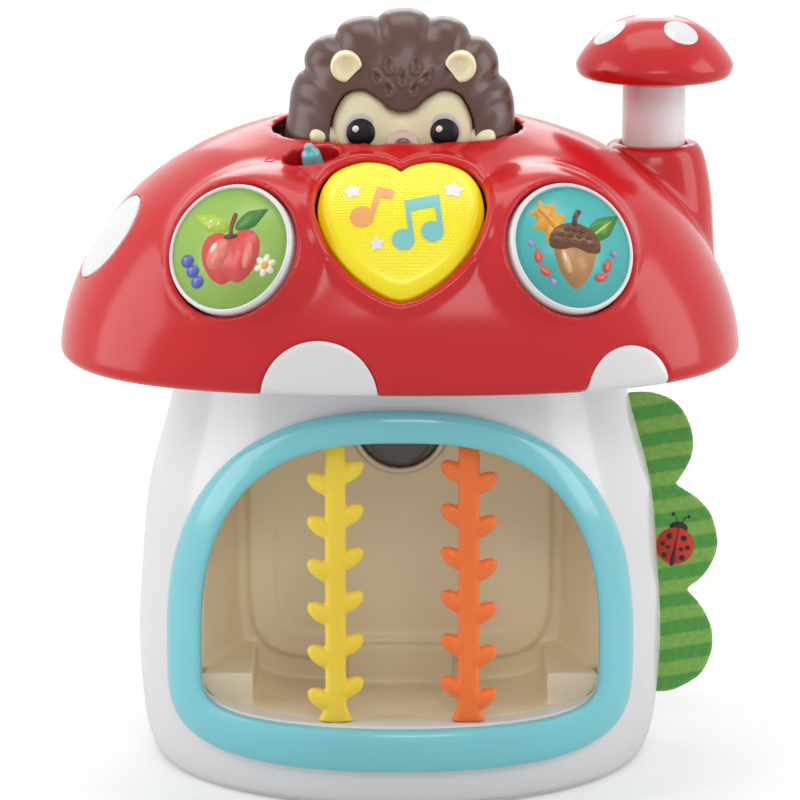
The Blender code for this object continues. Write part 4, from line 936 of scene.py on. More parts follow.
def buildTrunk():
    top, foot = trunk["rows"][-1][0], trunk["rows"][0][0]
    whole = loft("trunkWhole", trunkRings(0, foot, top))
    combine(whole, [loft("hollow", trunkRings(trunk["wall"], -5, top - 2.2, 3))], "DIFFERENCE")
    outline = doorPath(doorway["inner"], 0.5 * doorway["lipWall"], 211)
    door = loft("door", [[(x, y, z) for x, z in outline] for y in (-110, -30)])
    combine(whole, [door, block("notch", *trunk["notch"])], "DIFFERENCE")
    spec = trunk["battery"]
    rear = splitAtSeam(whole)
    pockets = [batteryPrism("opening", spec["gap"], 40, 110)]
    for x, y, z in trunk["caseScrews"]:
        pockets.append(lathe("pocket", ((0, -8), (3.6, -8), (3.6, 40), (0, 40)), None,
                             frameAt((x, y, z), (0, 1, 0)), 40))
    combine(rear, pockets, "DIFFERENCE")
    sleeve = []
    for inner, outer in zip(doorPath(doorway["inner"]), doorPath(doorway["inner"], doorway["lipWall"])):
        middle = [(a + b) / 2 for a, b in zip(inner, outer)]
        sleeve.append([(x, trunkFront(x, z) + depth, z) for (x, z), depth in (
            (inner, 2.0), (middle, 0.9), (outer, 0.9), (outer, doorway["lipDepth"]),
            (inner, doorway["lipDepth"]))])
    lip = loft("lip", sleeve, None, None, True)
    front = join("frontTrunkShell", [whole, lip])
    crisp(front, trunk["crease"])
    crisp(rear, trunk["crease"])
    piece(front, whiteShell, "house", ("front_trunk_shell",))
    rear.name = "rearTrunkShell"
    piece(rear, whiteShell, "house", ("rear_trunk_shell",))

    door = batteryPrism("batteryDoor", 0, 40, 110)
    combine(door, [loft("skin", trunkRings(0, 20, 130, 4))], "INTERSECT")
    combine(door, [loft("back", trunkRings(trunk["wall"], 10, 140, 3)),
                   lathe("screwHole", ((0, 50), (3.4, 50), (3.4, 90), (0, 90)), None,
                         frameAt((0, 0, spec["screwZ"]), (0, 1, 0)), 40)], "DIFFERENCE")
    crisp(door, trunk["crease"])
    piece(door, whiteShell, "house", ("battery_door",))


def buildRing():
    section = [(0, doorway["ringBack"])]
    for k in range(25):
        a = math.pi * (1 - k / 24)
        across = 0.5 + 0.5 * math.copysign(abs(math.cos(a)) ** (2 / 2.6), math.cos(a))
        section.append((across, 1.6 + (doorway["ring"] - 1.6) * abs(math.sin(a)) ** (2 / 2.4)))
    section += [(1, doorway["ringBack"]), (0.5, doorway["ringBack"])]
    rings = []
    for inner, outer in zip(doorPath(doorway["inner"]), doorPath(doorway["outer"])):
        ring = []
        for share, height in section:
            x = inner[0] + (outer[0] - inner[0]) * share
            z = inner[1] + (outer[1] - inner[1]) * share
            ring.append((x, trunkFront(x, z) - height, z))
        rings.append(ring)
    made = loft("doorwayRing", rings, None, None, True, 60)
    piece(made, skyRing, "house", ("doorway_ring",))


buildTrunk()
buildRing()
print("trunk and ring ready")


# The room behind the doorway
room = {
    "wall": 1.8, "backY": -12.0, "half": 57.0, "low": 27.5, "high": 139.0, "power": 6,
    # half width, bottom, top, set back and roundness of the rings of the panel in the back wall
    "panel": ((44.0, 45.5, 133.5, 1.2, 8), (44.5, 45.0, 134, 2.2, 8), (53.0, 36.5, 136, 2.2, 6),
              (54.5, 35, 137, 0, 6)),
    "step": (19, 26.6, 42), "ledge": {"inner": 51, "top": 42, "front": (-52, 69, 29), "back": (57.6, 26.6)},
    # x, z and radius; then the marks beside the window
    "window": (0, 121.5, 15.0), "marks": ((-36.5, 116.5), (37.5, 116.5)),
    "mark": ((0, -1), (3.6, -1), (3.6, 2.6), (0, 2.6)),
    # beyond the window's radius, height
    "bezel": ((0.3, 1.0), (2, 1.0), (2, 4.4), (1.6, 5.1), (1.0, 5.3), (0.5, 5.1), (0.3, 4.6)),
    "points": 220, "skin": 0.8, "rub": 5,
}


def roomRing(halfX, low, high, y, power, count):
    points = []
    for k in range(count):
        x, z = rounded(math.tau * ((k + 0.5) / count - 0.25), halfX, 0.5 * (high - low), power)
        points.append((x, y, z + 0.5 * (low + high)))
    return points


def ledgeRing(side, y, outer, low):
    inner, top = room["ledge"]["inner"], room["ledge"]["top"]
    return [(side * x, y, z) for x, z in ((inner, low), (outer - 8, low), (outer, low + 9), (outer, top),
                                          (inner, top))]


def buildRoom():
    count = room["points"]
    start = doorway["lipDepth"] + 0.3
    wall = room["wall"]
    y = room["backY"] - wall
    half, low, high, power = room["half"], room["low"], room["high"], room["power"]
    rings = [roomRing(width, foot, top, y - back, roundness, count)
             for width, foot, top, back, roundness in room["panel"]]
    rings.append(roomRing(half, low, high, y, power, count))
    for grow in (0, wall):
        rings.append([(x, trunkFront(x, z) + start, z) for x, z in doorPath(doorway["inner"], grow, count)])
    rings.append(roomRing(half + wall, low - wall, high + wall, room["backY"], power, count))
    tub = loft("roomShell", rings)
    half, foot, top = room["step"]
    steps = [block("step", (-half, y - 5, foot), (half, y + 0.6, top))]
    for side in (-1, 1):
        steps.append(loft("ledge", [ledgeRing(side, *room["ledge"]["front"]),
                                    ledgeRing(side, y + 0.5, *room["ledge"]["back"])]))
    for x, z in room["marks"]:
        steps.append(lathe("mark", room["mark"], None, frameAt((x, y, z), (0, -1, 0)), 40))
    x, z, radius = room["window"]
    seat = frameAt((x, room["backY"], z), (0, -1, 0))
    combine(tub, [lathe("seat", ((0, 0.7), (radius + 2.3, 0.7), (radius + 2.3, 12), (0, 12)), None, seat)],
            "DIFFERENCE")
    tub = join("roomTub", [tub, *steps])
    melt(tub, room["skin"], room["rub"])
    piece(tub, creamRoom, "house", ("room_tub",))
    bezel = lathe("windowBezel", [(radius + out, height) for out, height in room["bezel"]], None, seat,
                  128, 1, 50)
    piece(bezel, paleBezel, "house", ("window_bezel",))
    pane = lathe("roomWindow", ((0, 1.0), (radius, 1.0), (radius, 3.5), (radius - 0.5, 4.0),
                                (radius - 3, 4.3), (radius - 8, 4.5), (0, 4.6)), None, seat, 96, 1, 50)
    piece(pane, smokeWindow, "house", ("room_window",))


buildRoom()
print("room ready")


# Knob and tube of the plunger
plunger = {
    "profile": ((0, 261), (9, 260.1), (16, 257), (21.6, 252.6), (25.6, 247.8), (27.5, 244.6), (27.8, 243),
                (27.1, 240.6), (25, 239), (19, 237.8), (13.4, 236.8)),
    "tube": 11.2, "foot": 191.0, "middle": 238, "spotRise": 0.22, "spotSink": 0.2,
    # direction on the knob's top, angular radius in degrees
    "spots": (((0, 0, 1), 18), ((-0.66, -0.24, 0.71), 15.5), ((0.33, -0.56, 0.75), 15),
              ((0.70, 0.35, 0.62), 15), ((-0.15, 0.72, 0.68), 15.5)),
}


def buildPlunger():
    upright = frameAt((cap["chimney"]["x"], cap["chimney"]["y"], 0), (0, 0, 1))
    tubeRadius = plunger["tube"]
    outside = smoothRows(plunger["profile"], 6)
    profile = outside + [(tubeRadius + 0.3, 236.8), (tubeRadius + 0.3, 247), (0, 247)]
    knob = lathe("plungerKnob", profile, None, upright, 192, 1, 50)
    piece(knob, redShell, "plunger", ("plunger_knob",))
    middle = Vector((0, 0, plunger["middle"]))
    knobTree = surfaceTree(lathe("probe", outside + [(0, 236.8)], None, None, 128))
    throwAway(bpy.data.objects["probe"])
    spots = []
    for direction, spread in plunger["spots"]:
        axis = Vector(direction).normalized()
        side = axis.orthogonal().normalized()
        other = axis.cross(side)
        points = []
        count, layers = 72, 14
        for ring in range(layers + 1):
            tilt = math.radians(spread) * (ring / layers)
            for k in range(count):
                a = math.tau * k / count
                ray = axis * math.cos(tilt) + (side * math.cos(a) + other * math.sin(a)) * math.sin(tilt)
                hit = knobTree.ray_cast(middle * mm, ray)
                points.append(hit[0] / mm + hit[1] * (plunger["spotRise"] if ring < layers
                                                      else -plunger["spotSink"]))
        faces = loftFaces(layers + 1, count, capped=False)
        spots.append(makeObject("knobSpot", points, faces, whiteGloss, upright))
    made = join("knobSpots", spots)
    weld(made)
    made.data.shade_smooth()
    piece(made, whiteGloss, "plunger", ())
    foot = plunger["foot"]
    tube = lathe("plungerTube", ((0, 246.6), (tubeRadius - 0.8, 246.6), (tubeRadius, 245.8),
                                 (tubeRadius, foot + 2.4), (15.2, foot + 2.4), (15.2, foot), (8.8, foot),
                                 (8.8, 214.5), (0, 214.5)), None, upright, 128, 1, 40)
    piece(tube, tubeGloss, "plunger", ("plunger_tube",))


buildPlunger()
print("plunger ready")


# Round buttons
buttons = {
    "print": 20.9,
    "profile": ((0, -5), (4, -5), (4, -2.4), (21.1, -2.4), (21.1, -6), (22.7, -6), (22.7, 0.2),
                (22.65, 0.9), (22.5, 1.5), (22.2, 1.95), (21.95, 2.15), (21.65, 2.2), (21.35, 2.1),
                (21.15, 1.8), (21.15, 1.2), (0, 1.2)),
}


def buildButtons():
    for side, (place, axis) in cap["buttons"].items():
        seat = frameAt(place, axis)
        rim = lathe(side + "Button", buttons["profile"], None, seat, 160, 1, 40)
        piece(rim, whiteGloss, side + "_picture_button", (side + "_button",))


buildButtons()


# The hedgehog's head. Points are (x, z) seen from the front.
hedgehog = {
    "middle": (-0.3, 223.0), "top": 267.4, "frontY": -8.0, "frontDepth": 20.3, "backDepth": 18.2,
    # one list of points for each tuft, from the left foot over the top to the right foot
    "tufts": (
        ((-40.6, 205), (-40.4, 215), (-39.9, 225.3), (-38.6, 231.6), (-37.8, 238.6), (-35.6, 244.0),
         (-32.7, 246.2)),
        ((-32.7, 246.2), (-33.0, 250.6), (-31.2, 254.3), (-28.0, 257.0), (-24.6, 258.2), (-22.1, 258.0)),
        ((-22.1, 258.0), (-21.2, 260.8), (-18.0, 263.2), (-13.6, 264.4), (-10.0, 264.6), (-7.6, 264.0)),
        ((-7.6, 264.0), (-4.6, 266.4), (1.6, 267.4), (7.0, 266.4), (10.4, 263.6)),
        ((10.4, 263.6), (14.4, 264.6), (19.0, 263.8), (22.8, 261.2), (24.2, 257.8)),
        ((24.2, 257.8), (28.2, 257.4), (31.6, 254.6), (33.8, 250.6), (34.2, 244.4)),
        ((34.2, 244.4), (37.2, 241.8), (39.2, 236.8), (39.8, 230.0), (39.9, 222.0), (40.2, 205)),
    ),
    # soft furrows: points from the edge inwards
    "furrows": (
        ((-32.7, 246.2), (-24.2, 249.3), (-14.5, 250.6)), ((-22.1, 258), (-17.3, 255.6), (-11, 254.6)),
        ((-7.6, 264), (-5.5, 259.2), (-2.8, 255.9)), ((10.4, 263.6), (14.2, 258.5), (13.8, 252.9)),
        ((24.2, 257.8), (21.4, 253.3), (19.0, 250.6)), ((34.2, 244.4), (29.7, 243.6), (26.6, 241.2)),
        ((-38.5, 236.5), (-31.5, 234.6), (-25.6, 229.6)), ((38.9, 236.5), (32.4, 234.6), (27.0, 229.6)),
    ),
    "furrowDepth": 1.7, "furrowWidth": 2.7,
    # small drops pressed into the brow
    "drops": ((-3.7, 250.4, 0), (5.5, 250.4, 0), (-8.0, 246.1, -35), (0.9, 245.9, 0), (8.9, 246.0, 35),
              (-4.0, 242.2, -25), (4.9, 242.2, 25)),
    "dropDepth": 0.85, "dropHalf": (0.85, 1.9),
    # superellipse of its depth, and the share of the radius from which the tufts come in
    "depthPower": 2.3, "tuftsFrom": 0.45, "tuftsOver": 0.5, "foot": 205.0,
    "face": ((0, 234.0), (1.6, 234.1), (4.6, 235.6), (8.4, 238.9), (13.6, 241.3), (19.4, 239.4),
             (23.4, 232.2), (24.2, 224), (22.8, 215), (17, 209.4), (7, 206.9), (0, 206.4)),
    "faceX": 0.8, "faceZ": 222.0, "faceY": (-21.6, -26.6), "faceGap": 0.5,
    # radius and height of turned pieces
    "muzzle": ((0, 3.5), (2.4, 3.35), (4.6, 2.7), (6.2, 1.4), (6.9, -0.4), (7.0, -2.4), (6.8, -3.4),
               (0, -3.4)),
    "nose": ((0, -0.8), (2.9, -0.8), (3.3, 0.0), (3.2, 0.6), (2.5, 1.1), (1.4, 1.3), (0, 1.4)),
    "muzzlePlace": (0.8, -25.8, 221.4), "nosePlace": (1.0, -28.6, 222.3),
    "eyes": {"left_eye": -13.4, "right_eye": 15.2}, "eyeZ": 226.9, "eyeY": -24.9,
    "eyeBall": ((0, 3.7), (1.6, 3.55), (3.2, 3.05), (4.4, 2.2), (5.0, 1.4), (5.1, 0.8), (5.1, -0.6),
                (0, -0.6)),
    "eyeRing": ((0, -0.6), (6.1, -0.6), (6.1, 0.7), (5.9, 1.15), (5.5, 1.4), (5.0, 1.45), (0, 1.3)),
    # the glint is a painted highlight: a pale disc set into each eye
    "glint": ((0, 3.6), (0.9, 3.55), (1.3, 3.1), (1.4, 2.3), (0, 2.3)),
    "ringShift": (0, 0.85, 0), "glintShift": (-1.6, 1.5, 0.0),
    # x, side and lean of the cut across each ear
    "ears": {"left_ear": (-18.2, 1, 45), "right_ear": (20.5, -1, -52)}, "earZ": 249.4, "earCut": 3.6,
    "ear": ((0, -4.5), (4.6, -4.5), (5.2, -2.0), (5.4, 0.2), (5.2, 1.2), (4.6, 1.8), (3.9, 1.7), (3.2, 1.2),
            (2.4, 0.7), (1.4, 0.45), (0, 0.4)), "earSkin": 0.3,
    # x, side and height
    "paws": {"left_paw": (-27.1, 1, 224.9), "right_paw": (28.8, -1, 224.3)}, "armY": -19.2, "palmY": -21.0,
    "arm": ((0, 208.4), (4.1, 208.4), (4.1, 223.5), (3.6, 225.5), (2.2, 226.8), (0, 227.2)),
    "palm": ((0, -5.6), (1.9, -5.1), (3.2, -3.4), (3.8, 0), (3.2, 3.4), (1.9, 5.1), (0, 5.6)),
    "skin": 0.5, "rub": 4,
}


def nearLine(x, z, line):
    # Distance to a bent line, and how far along it the nearest point lies, from 0 to 1
    best, share = 1e9, 0
    pieces = len(line) - 1
    for i in range(pieces):
        (x0, z0), (x1, z1) = line[i], line[i + 1]
        dx, dz = x1 - x0, z1 - z0
        t = min(max(((x - x0) * dx + (z - z0) * dz) / (dx * dx + dz * dz), 0), 1)
        far = math.hypot(x - x0 - t * dx, z - z0 - t * dz)
        if far < best:
            best, share = far, (i + t) / pieces
    return best, share


def faceOutline(grow=0.0, parts=8):
    centreX, centreZ = hedgehog["faceX"], hedgehog["faceZ"]
    spread = 1 + grow / 20
    return [(centreX + x * spread, centreZ + (z - centreZ) * spread)
            for x, z in mirrored(hedgehog["face"], parts)]


def pressIn(x, z):
    # How deep the furrows and drops press into the hair at a point seen from the front
    push = 0
    for line in hedgehog["furrows"]:
        far, along = nearLine(x, z, line)
        if far < 8:
            push = max(push, hedgehog["furrowDepth"] * (1 - 0.75 * along)
                       * math.exp(-(far / hedgehog["furrowWidth"]) ** 2))
    halfX, halfZ = hedgehog["dropHalf"]
    for dropX, dropZ, lean in hedgehog["drops"]:
        dx, dz = x - dropX, z - dropZ
        if math.hypot(dx, dz) < 4:
            c, s = math.cos(math.radians(lean)), math.sin(math.radians(lean))
            dx, dz = dx * c - dz * s, dx * s + dz * c
            across = halfX * (1.0 - 0.35 * dz / halfZ)
            far = math.hypot(dx / max(across, 0.3), dz / halfZ)
            push += hedgehog["dropDepth"] * (math.exp(-far ** 4) - 0.6 * math.exp(-(far - 1.5) ** 2 * 6))
    return push


def buildHair():
    count, fronts, backs, wide = 420, 84, 40, 17
    middleX, middleZ = hedgehog["middle"]
    lobed = radiusAround(chained(hedgehog["tufts"], 10), hedgehog["middle"], count)
    plain = [sum(lobed[(k + j) % count] for j in range(-wide, wide + 1)) / (2 * wide + 1)
             for k in range(count)]
    frontY, power = hedgehog["frontY"], hedgehog["depthPower"]
    rings = []
    for i in range(fronts + backs + 1):
        front = i <= fronts
        share = i / fronts if front else 1 - (i - fronts) / backs
        rho = max(math.sin(0.5 * math.pi * share), 0.004)
        bend = (1 - rho ** power) ** (1 / power) if rho < 1 else 0
        depth = -hedgehog["frontDepth"] * bend if front else hedgehog["backDepth"] * bend
        blend = clamp((rho - hedgehog["tuftsFrom"]) / hedgehog["tuftsOver"])
        blend = blend * blend * (3 - 2 * blend)
        ring = []
        for k in range(count):
            a = math.tau * (k + 0.5) / count
            reach = (plain[k] + (lobed[k] - plain[k]) * blend) * rho
            x, z = middleX + reach * math.cos(a), middleZ + reach * math.sin(a)
            ring.append((x, frontY + depth + (pressIn(x, z) if front and rho > 0.2 else 0), z))
        rings.append(ring)
    hair = loft("hedgehogHair", rings)
    recess = [[(x, y, z) for x, z in faceOutline(hedgehog["faceGap"])] for y in (-60, -21.2)]
    combine(hair, [loft("faceSeat", recess)], "DIFFERENCE")
    melt(hair, hedgehog["skin"], hedgehog["rub"])
    slab(hair, 2, -1, hedgehog["foot"])
    piece(hair, brownHair, "hedgehog", ("hedgehog_hair",))
    return surfaceTree(hair)


def buildFace():
    outline = faceOutline(0, 12)
    centreX, centreZ = hedgehog["faceX"], hedgehog["faceZ"]
    back, front = hedgehog["faceY"]
    rings = [[(x, back + 0.8, z) for x, z in outline]]
    layers = 40
    for i in range(layers + 1):
        t = max(math.sin(0.5 * math.pi * (1 - i / layers)), 0.004)
        y = back - (back - front) * (1 - t ** 3.2) ** (1 / 2.2)
        rings.append([(centreX + (x - centreX) * t, y, centreZ + (z - centreZ) * t) for x, z in outline])
    mask = loft("mask", rings, creamFace)
    muzzle = lathe("muzzle", hedgehog["muzzle"], muzzlePink, frameAt(hedgehog["muzzlePlace"], (0, -1, 0)),
                   96, 4)
    melt(muzzle, 0.5, 3)
    face = join("hedgehogFace", [mask, muzzle])
    face.data.shade_smooth()
    piece(face, None, "hedgehog", ("hedgehog_face",))
    nose = lathe("hedgehogNose", hedgehog["nose"], None, frameAt(hedgehog["nosePlace"], (0, -1, 0)), 72, 3)
    piece(nose, noseBrown, "hedgehog", ("hedgehog_nose",))


def buildEyes():
    for name, x in hedgehog["eyes"].items():
        seat = frameAt((x, hedgehog["eyeY"], hedgehog["eyeZ"]), (0, -1, 0))
        ball = lathe("ball", hedgehog["eyeBall"], eyeBlack, seat, 96, 4)
        ring = lathe("ring", hedgehog["eyeRing"], eyeRing,
                     seat @ Matrix.Translation(hedgehog["ringShift"]), 96)
        # painted highlight: a pale disc on the eye's upper left
        glint = lathe("glint", hedgehog["glint"], eyeGlint,
                      seat @ Matrix.Translation(hedgehog["glintShift"]), 32)
        eye = join(name.split("_")[0] + "Eye", [ball, ring, glint])
        eye.data.shade_smooth()
        piece(eye, None, "hedgehog", (name,))


def buildEars(hairTree):
    # Round shells, each cut off along a slanting line on its lower inner side
    for name, (x, side, lean) in hedgehog["ears"].items():
        hit = hairTree.ray_cast(Vector((x, -60, hedgehog["earZ"])) * mm, Vector((0, 1, 0)))
        seat = frameAt((x - side * 0.2, hit[0].y / mm - 1.5, hedgehog["earZ"]), (0.06 * side, -1.0, -0.06))
        ear = lathe(name.split("_")[0] + "Ear", hedgehog["ear"], None, seat, 96, 3)
        combine(ear, [block("cut", (-12, -12, -9), (12, -hedgehog["earCut"], 9), None,
                            seat @ Matrix.Rotation(math.radians(lean), 4, "Z"))], "DIFFERENCE")
        melt(ear, hedgehog["earSkin"], 5)
        piece(ear, creamFace, "hedgehog", (name,))


def buildPaws():
    for name, (x, side, height) in hedgehog["paws"].items():
        arm = lathe("arm", hedgehog["arm"], None, frameAt((x, hedgehog["armY"], 0), (0, 0, 1)), 72, 2)
        palm = lathe("palm", hedgehog["palm"], None,
                     frameAt((x + side * 1.4, hedgehog["palmY"], height), (side, 0, -0.12)), 64, 4)
        hand = join(name.split("_")[0] + "Paw", [arm, palm])
        melt(hand, hedgehog["skin"], 5)
        piece(hand, creamFace, "hedgehog", (name,))


muzzlePink = moulded("muzzle pink", (0.74, 0.56, 0.47), 0.34, 0.1, 0.010, 900, 0.02, under=0.08)
eyeRing = moulded("eye ring", (0.70, 0.64, 0.63), 0.34, 0.1, 0.010, 900, 0.01, under=0.05)
# colour of the painted highlight in each eye
eyeGlint = moulded("eye glint", (0.92, 0.92, 0.94), 0.34, 0.0, 0.006, 900, 0.01)
eyeBlack = moulded("eye black", (0.010, 0.010, 0.012), 0.34, 0.0, 0.30, 2600, 0.10, shine=0.2)
headTree = buildHair()
buildFace()
buildEyes()
buildEars(headTree)
buildPaws()
print("hedgehog ready")


# Two silicone strands in the doorway
strand = {
    "half": 3.6, "deep": 2.5, "setBack": 6.2, "sill": 30.0, "pitch": 14.9, "leaves": 6,
    # half length, half width, half depth, tilt in degrees, tip from the strand's middle
    "leaf": (5.7, 3.25, 2.6, 36, 9.8), "flare": 6.2, "flareHeight": 8.0, "peg": 1.8,
    "skin": 0.45, "rub": 7,
    "pair": {"yellow": (-22.0, 39.7, 4.0), "orange": (23.5, 43.7, -4.0)},
}


def doorHead(x):
    spec = doorway["inner"]
    return doorway["waist"] + spec["up"] * (1 - (abs(x) / spec["half"]) ** spec["top"]) ** (1 / spec["top"])


def strandY(x, z):
    low, high = trunkFront(x, strand["sill"]), trunkFront(x, doorHead(x))
    share = (z - strand["sill"]) / (doorHead(x) - strand["sill"])
    return low + (high - low) * share + strand["setBack"]


def buildStrand(name, look, node):
    x, firstTip, offset = strand["pair"][name]
    low = strand["sill"] + 0.3
    high = doorHead(abs(x) + strand["half"]) - 0.2
    rings = []
    steps = 60
    for i in range(steps + 1):
        z = low + (high - low) * i / steps
        flare = (strand["flare"] - strand["half"]) * max(0, 1 - (z - low) / strand["flareHeight"]) ** 2.2
        rings.append([(x + px, strandY(x, z) + py, z)
                      for px, py in roundedOutline(40, strand["half"] + flare, strand["deep"], 2.6)])
    parts = [loft("stem", rings)]
    length, width, depth, tilt, reach = strand["leaf"]
    lean = math.radians(tilt)
    spreadX = math.hypot(length * math.cos(lean), width * math.sin(lean))
    lift = (length ** 2 - width ** 2) * math.sin(lean) * math.cos(lean) / spreadX
    for side in (-1, 1):
        for i in range(strand["leaves"]):
            tip = firstTip + strand["pitch"] * i + (offset if side > 0 else 0)
            z = tip - lift
            seat = frameAt((x + side * (reach - spreadX), strandY(x, z), z),
                           (side * math.cos(lean), 0, math.sin(lean)), (0, 1, 0))
            profile = [(width * math.sin(math.pi * k / 20), -length * math.cos(math.pi * k / 20))
                       for k in range(21)]
            parts.append(lathe("leaf", profile, None, seat @ Matrix.Diagonal((depth / width, 1, 1, 1)), 40))
    made = join(name + "Strand", parts)
    melt(made, strand["skin"], strand["rub"])
    slab(made, 2, -1, low)
    slab(made, 2, 1, high)
    radius = strand["peg"]
    pegs = [lathe("peg", ((0, foot), (radius, foot), (radius, top), (0, top)), None,
                  frameAt((x, strandY(x, z), z), (0, 0, 1)), 32)
            for z, foot, top in ((low, -4.2, 0.1), (high, -0.1, 4.0))]
    whole = join(name + "Strand", [made, *pegs])
    whole.name = name + "Strand"
    piece(whole, look, "house", (node,))


def silicone(name, colour):
    made = moulded(name, colour, 0.42, 0.04, 0.05, 1400, 0.05, under=0.22)
    shaderOf(made).inputs["Sheen Weight"].default_value = 0.25
    return made


yellowSilicone = silicone("yellow silicone", tone["gold"])
orangeSilicone = silicone("orange silicone", tone["orange"])
buildStrand("yellow", yellowSilicone, "yellow_strand")
buildStrand("orange", orangeSilicone, "orange_strand")
print("strands ready")


# Heart lens with its printed notes and stars
heart = {
    "innerSpread": 0.865, "innerLift": 1.5, "edge": -0.6, "top": 1.45, "crown": 0.35, "side": -6.0,
    "middle": (0.0, 1.0), "shoulder": 0.85,
    "skin": 0.36, "rub": 3, "dimplePitch": 1.38, "dimple": 0.26, "dimpleHalf": 0.45, "ribPitch": 1.2,
    # share of the way to the shoulder at which the dimples end and the ribs start
    "dimplesTo": 0.97, "ribsFrom": 1.04, "ribsBelow": -8, "rib": 0.10, "printLift": 0.10, "printDeep": 0.5,
    # x, y, size and turn of each star; head radius of the notes
    "stars": ((-16.3, 12.9, 3.3, 12), (17.6, 13.7, 3.8, -8), (-8.0, -7.7, 2.6, 6)), "starWaist": 0.62,
    "single": {"heads": ((-13.0, 2.3, 4.0),), "rest": (
        (-10.9, 2.0), (-7.9, 14.8), (-2.2, 12.9), (-3.0, 9.2), (-7.0, 10.2), (-9.1, 1.6))},
    "double": {"heads": ((0.8, -6.3, 3.75), (10.5, -3.2, 3.75)), "rest": (
        (4.5, -6.3), (3.2, 4.3), (11.4, 6.3), (12.2, -0.2), (14.2, -3.2), (12.8, 11.5), (1.2, 8.5),
        (2.4, -3.0))},
}


def starOutline(x, y, size, turn):
    points = []
    for k in range(10):
        a = math.radians(turn + 90 + 36 * k)
        reach = size * (1.0 if k % 2 == 0 else heart["starWaist"])
        points.append((x + reach * math.cos(a), y + reach * math.sin(a)))
    return smoothRows(points, 4, True)


def lensRings(seat, outer, inner):
    # Side wall, rounded shoulder and crown, all measured from the cap's surface
    edge, top, (middleX, middleY) = heart["edge"], heart["top"], heart["middle"]

    def stand(x, y):
        z = dropOn(capTree, seat, x, y)
        return 0.0 if z is None else z

    rings = [[(x, y, stand(x, y) + heart["side"]) for x, y in outer]]
    for i in range(13):
        t = i / 12
        bend = math.sin(0.5 * math.pi * t) ** heart["shoulder"]
        ring = [(ox + (ix - ox) * t, oy + (iy - oy) * t) for (ox, oy), (ix, iy) in zip(outer, inner)]
        rings.append([(x, y, stand(x, y) + edge + (top - edge) * bend) for x, y in ring])
    for i in range(1, 12):
        s = 1 - i / 12
        ring = [(middleX + (x - middleX) * s, middleY + (y - middleY) * s) for x, y in inner]
        rings.append([(x, y, stand(x, y) + top + heart["crown"] * (1 - s * s)) for x, y in ring])
    return rings


def dimpleLens(lens, seat, inner):
    # Fine dimples in the face, in staggered rows, and ribs on the lower side
    middleX, middleY = heart["middle"]
    reach = radiusAround(inner, heart["middle"], 720)
    back = seat.inverted()
    axis = seat.to_3x3() @ Vector((0, 0, 1))
    pitch = heart["dimplePitch"]
    rowPitch = pitch * math.sqrt(3) / 2
    end, start, foot = heart["dimplesTo"], heart["ribsFrom"], heart["ribsBelow"]
    for vert, normal in zip(lens.data.vertices, [v.normal.copy() for v in lens.data.vertices]):
        if normal.dot(axis) < 0.35:
            continue
        place = back @ (vert.co / mm)
        dx, dy = place.x - middleX, place.y - middleY
        share = math.hypot(dx, dy) / reach[bearing(dx, dy, 720)]
        push = 0
        if share < end:
            row = round(place.y / rowPitch)
            shift = 0.5 * pitch * (row % 2)
            column = round((place.x - shift) / pitch)
            far = math.hypot(place.x - shift - column * pitch, place.y - row * rowPitch)
            push = heart["dimple"] * math.exp(-(far / heart["dimpleHalf"]) ** 2) * min((end - share) * 20, 1)
        elif place.y < foot and share > start:
            wave = 0.5 + 0.5 * math.cos(math.tau * place.x / heart["ribPitch"])
            push = heart["rib"] * wave * min((share - start) * 12, 1) * min((foot - place.y) / 5, 1)
        vert.co -= axis * push * mm


def film(lensTree, seat, outline, look, lift):
    # A thin printed film that lies on the lens
    work = bmesh.new()
    work.faces.new([work.verts.new((x, y, 0)) for x, y in outline])
    work.normal_update()
    bmesh.ops.triangulate(work, faces=work.faces[:])
    for size in (6, 3, 1.5, 0.9):
        bmesh.ops.subdivide_edges(work, edges=[e for e in work.edges if e.calc_length() > size], cuts=1)
        bmesh.ops.triangulate(work, faces=work.faces[:])
    for vert in work.verts:
        vert.co.z = dropOn(lensTree, seat, vert.co.x, vert.co.y) + lift + heart["printLift"]
    under = bmesh.ops.extrude_face_region(work, geom=work.faces[:])
    for vert in under["geom"]:
        if isinstance(vert, bmesh.types.BMVert):
            vert.co.z -= heart["printDeep"]
    # points and faces in the same order on every run
    order = sorted(work.verts, key=lambda vert: tuple(vert.co))
    rank = {vert: k for k, vert in enumerate(order)}
    points = [tuple(vert.co) for vert in order]
    faces = []
    for face in work.faces:
        corners = [rank[vert] for vert in face.verts]
        first = corners.index(min(corners))
        faces.append(tuple(corners[first:] + corners[:first]))
    work.free()
    return makeObject("film", points, sorted(faces), look, seat, 40)


def buildHeart():
    seat = frameAt(*cap["heart"])
    outer = heartOutline(0, 8)
    inner = [(x * heart["innerSpread"], y * heart["innerSpread"] + heart["innerLift"]) for x, y in outer]
    lens = loft("heartButton", lensRings(seat, outer, inner), None, seat)
    melt(lens, heart["skin"], heart["rub"])
    lensTree = surfaceTree(lens)
    dimpleLens(lens, seat, inner)
    piece(lens, yellowLens, "heart", ("heart_button",))
    inlays = [film(lensTree, seat, starOutline(*star), filmWhite, 0.02) for star in heart["stars"]]
    for spec, look in ((heart["single"], filmOrange), (heart["double"], filmTeal)):
        inlays.append(film(lensTree, seat, spec["rest"], look, 0.02))
        for x, y, radius in spec["heads"]:
            inlays.append(film(lensTree, seat, circle(radius, 56, (x, y)), look, 0.05))
    piece(join("heartPrints", inlays), None, "heart", ())


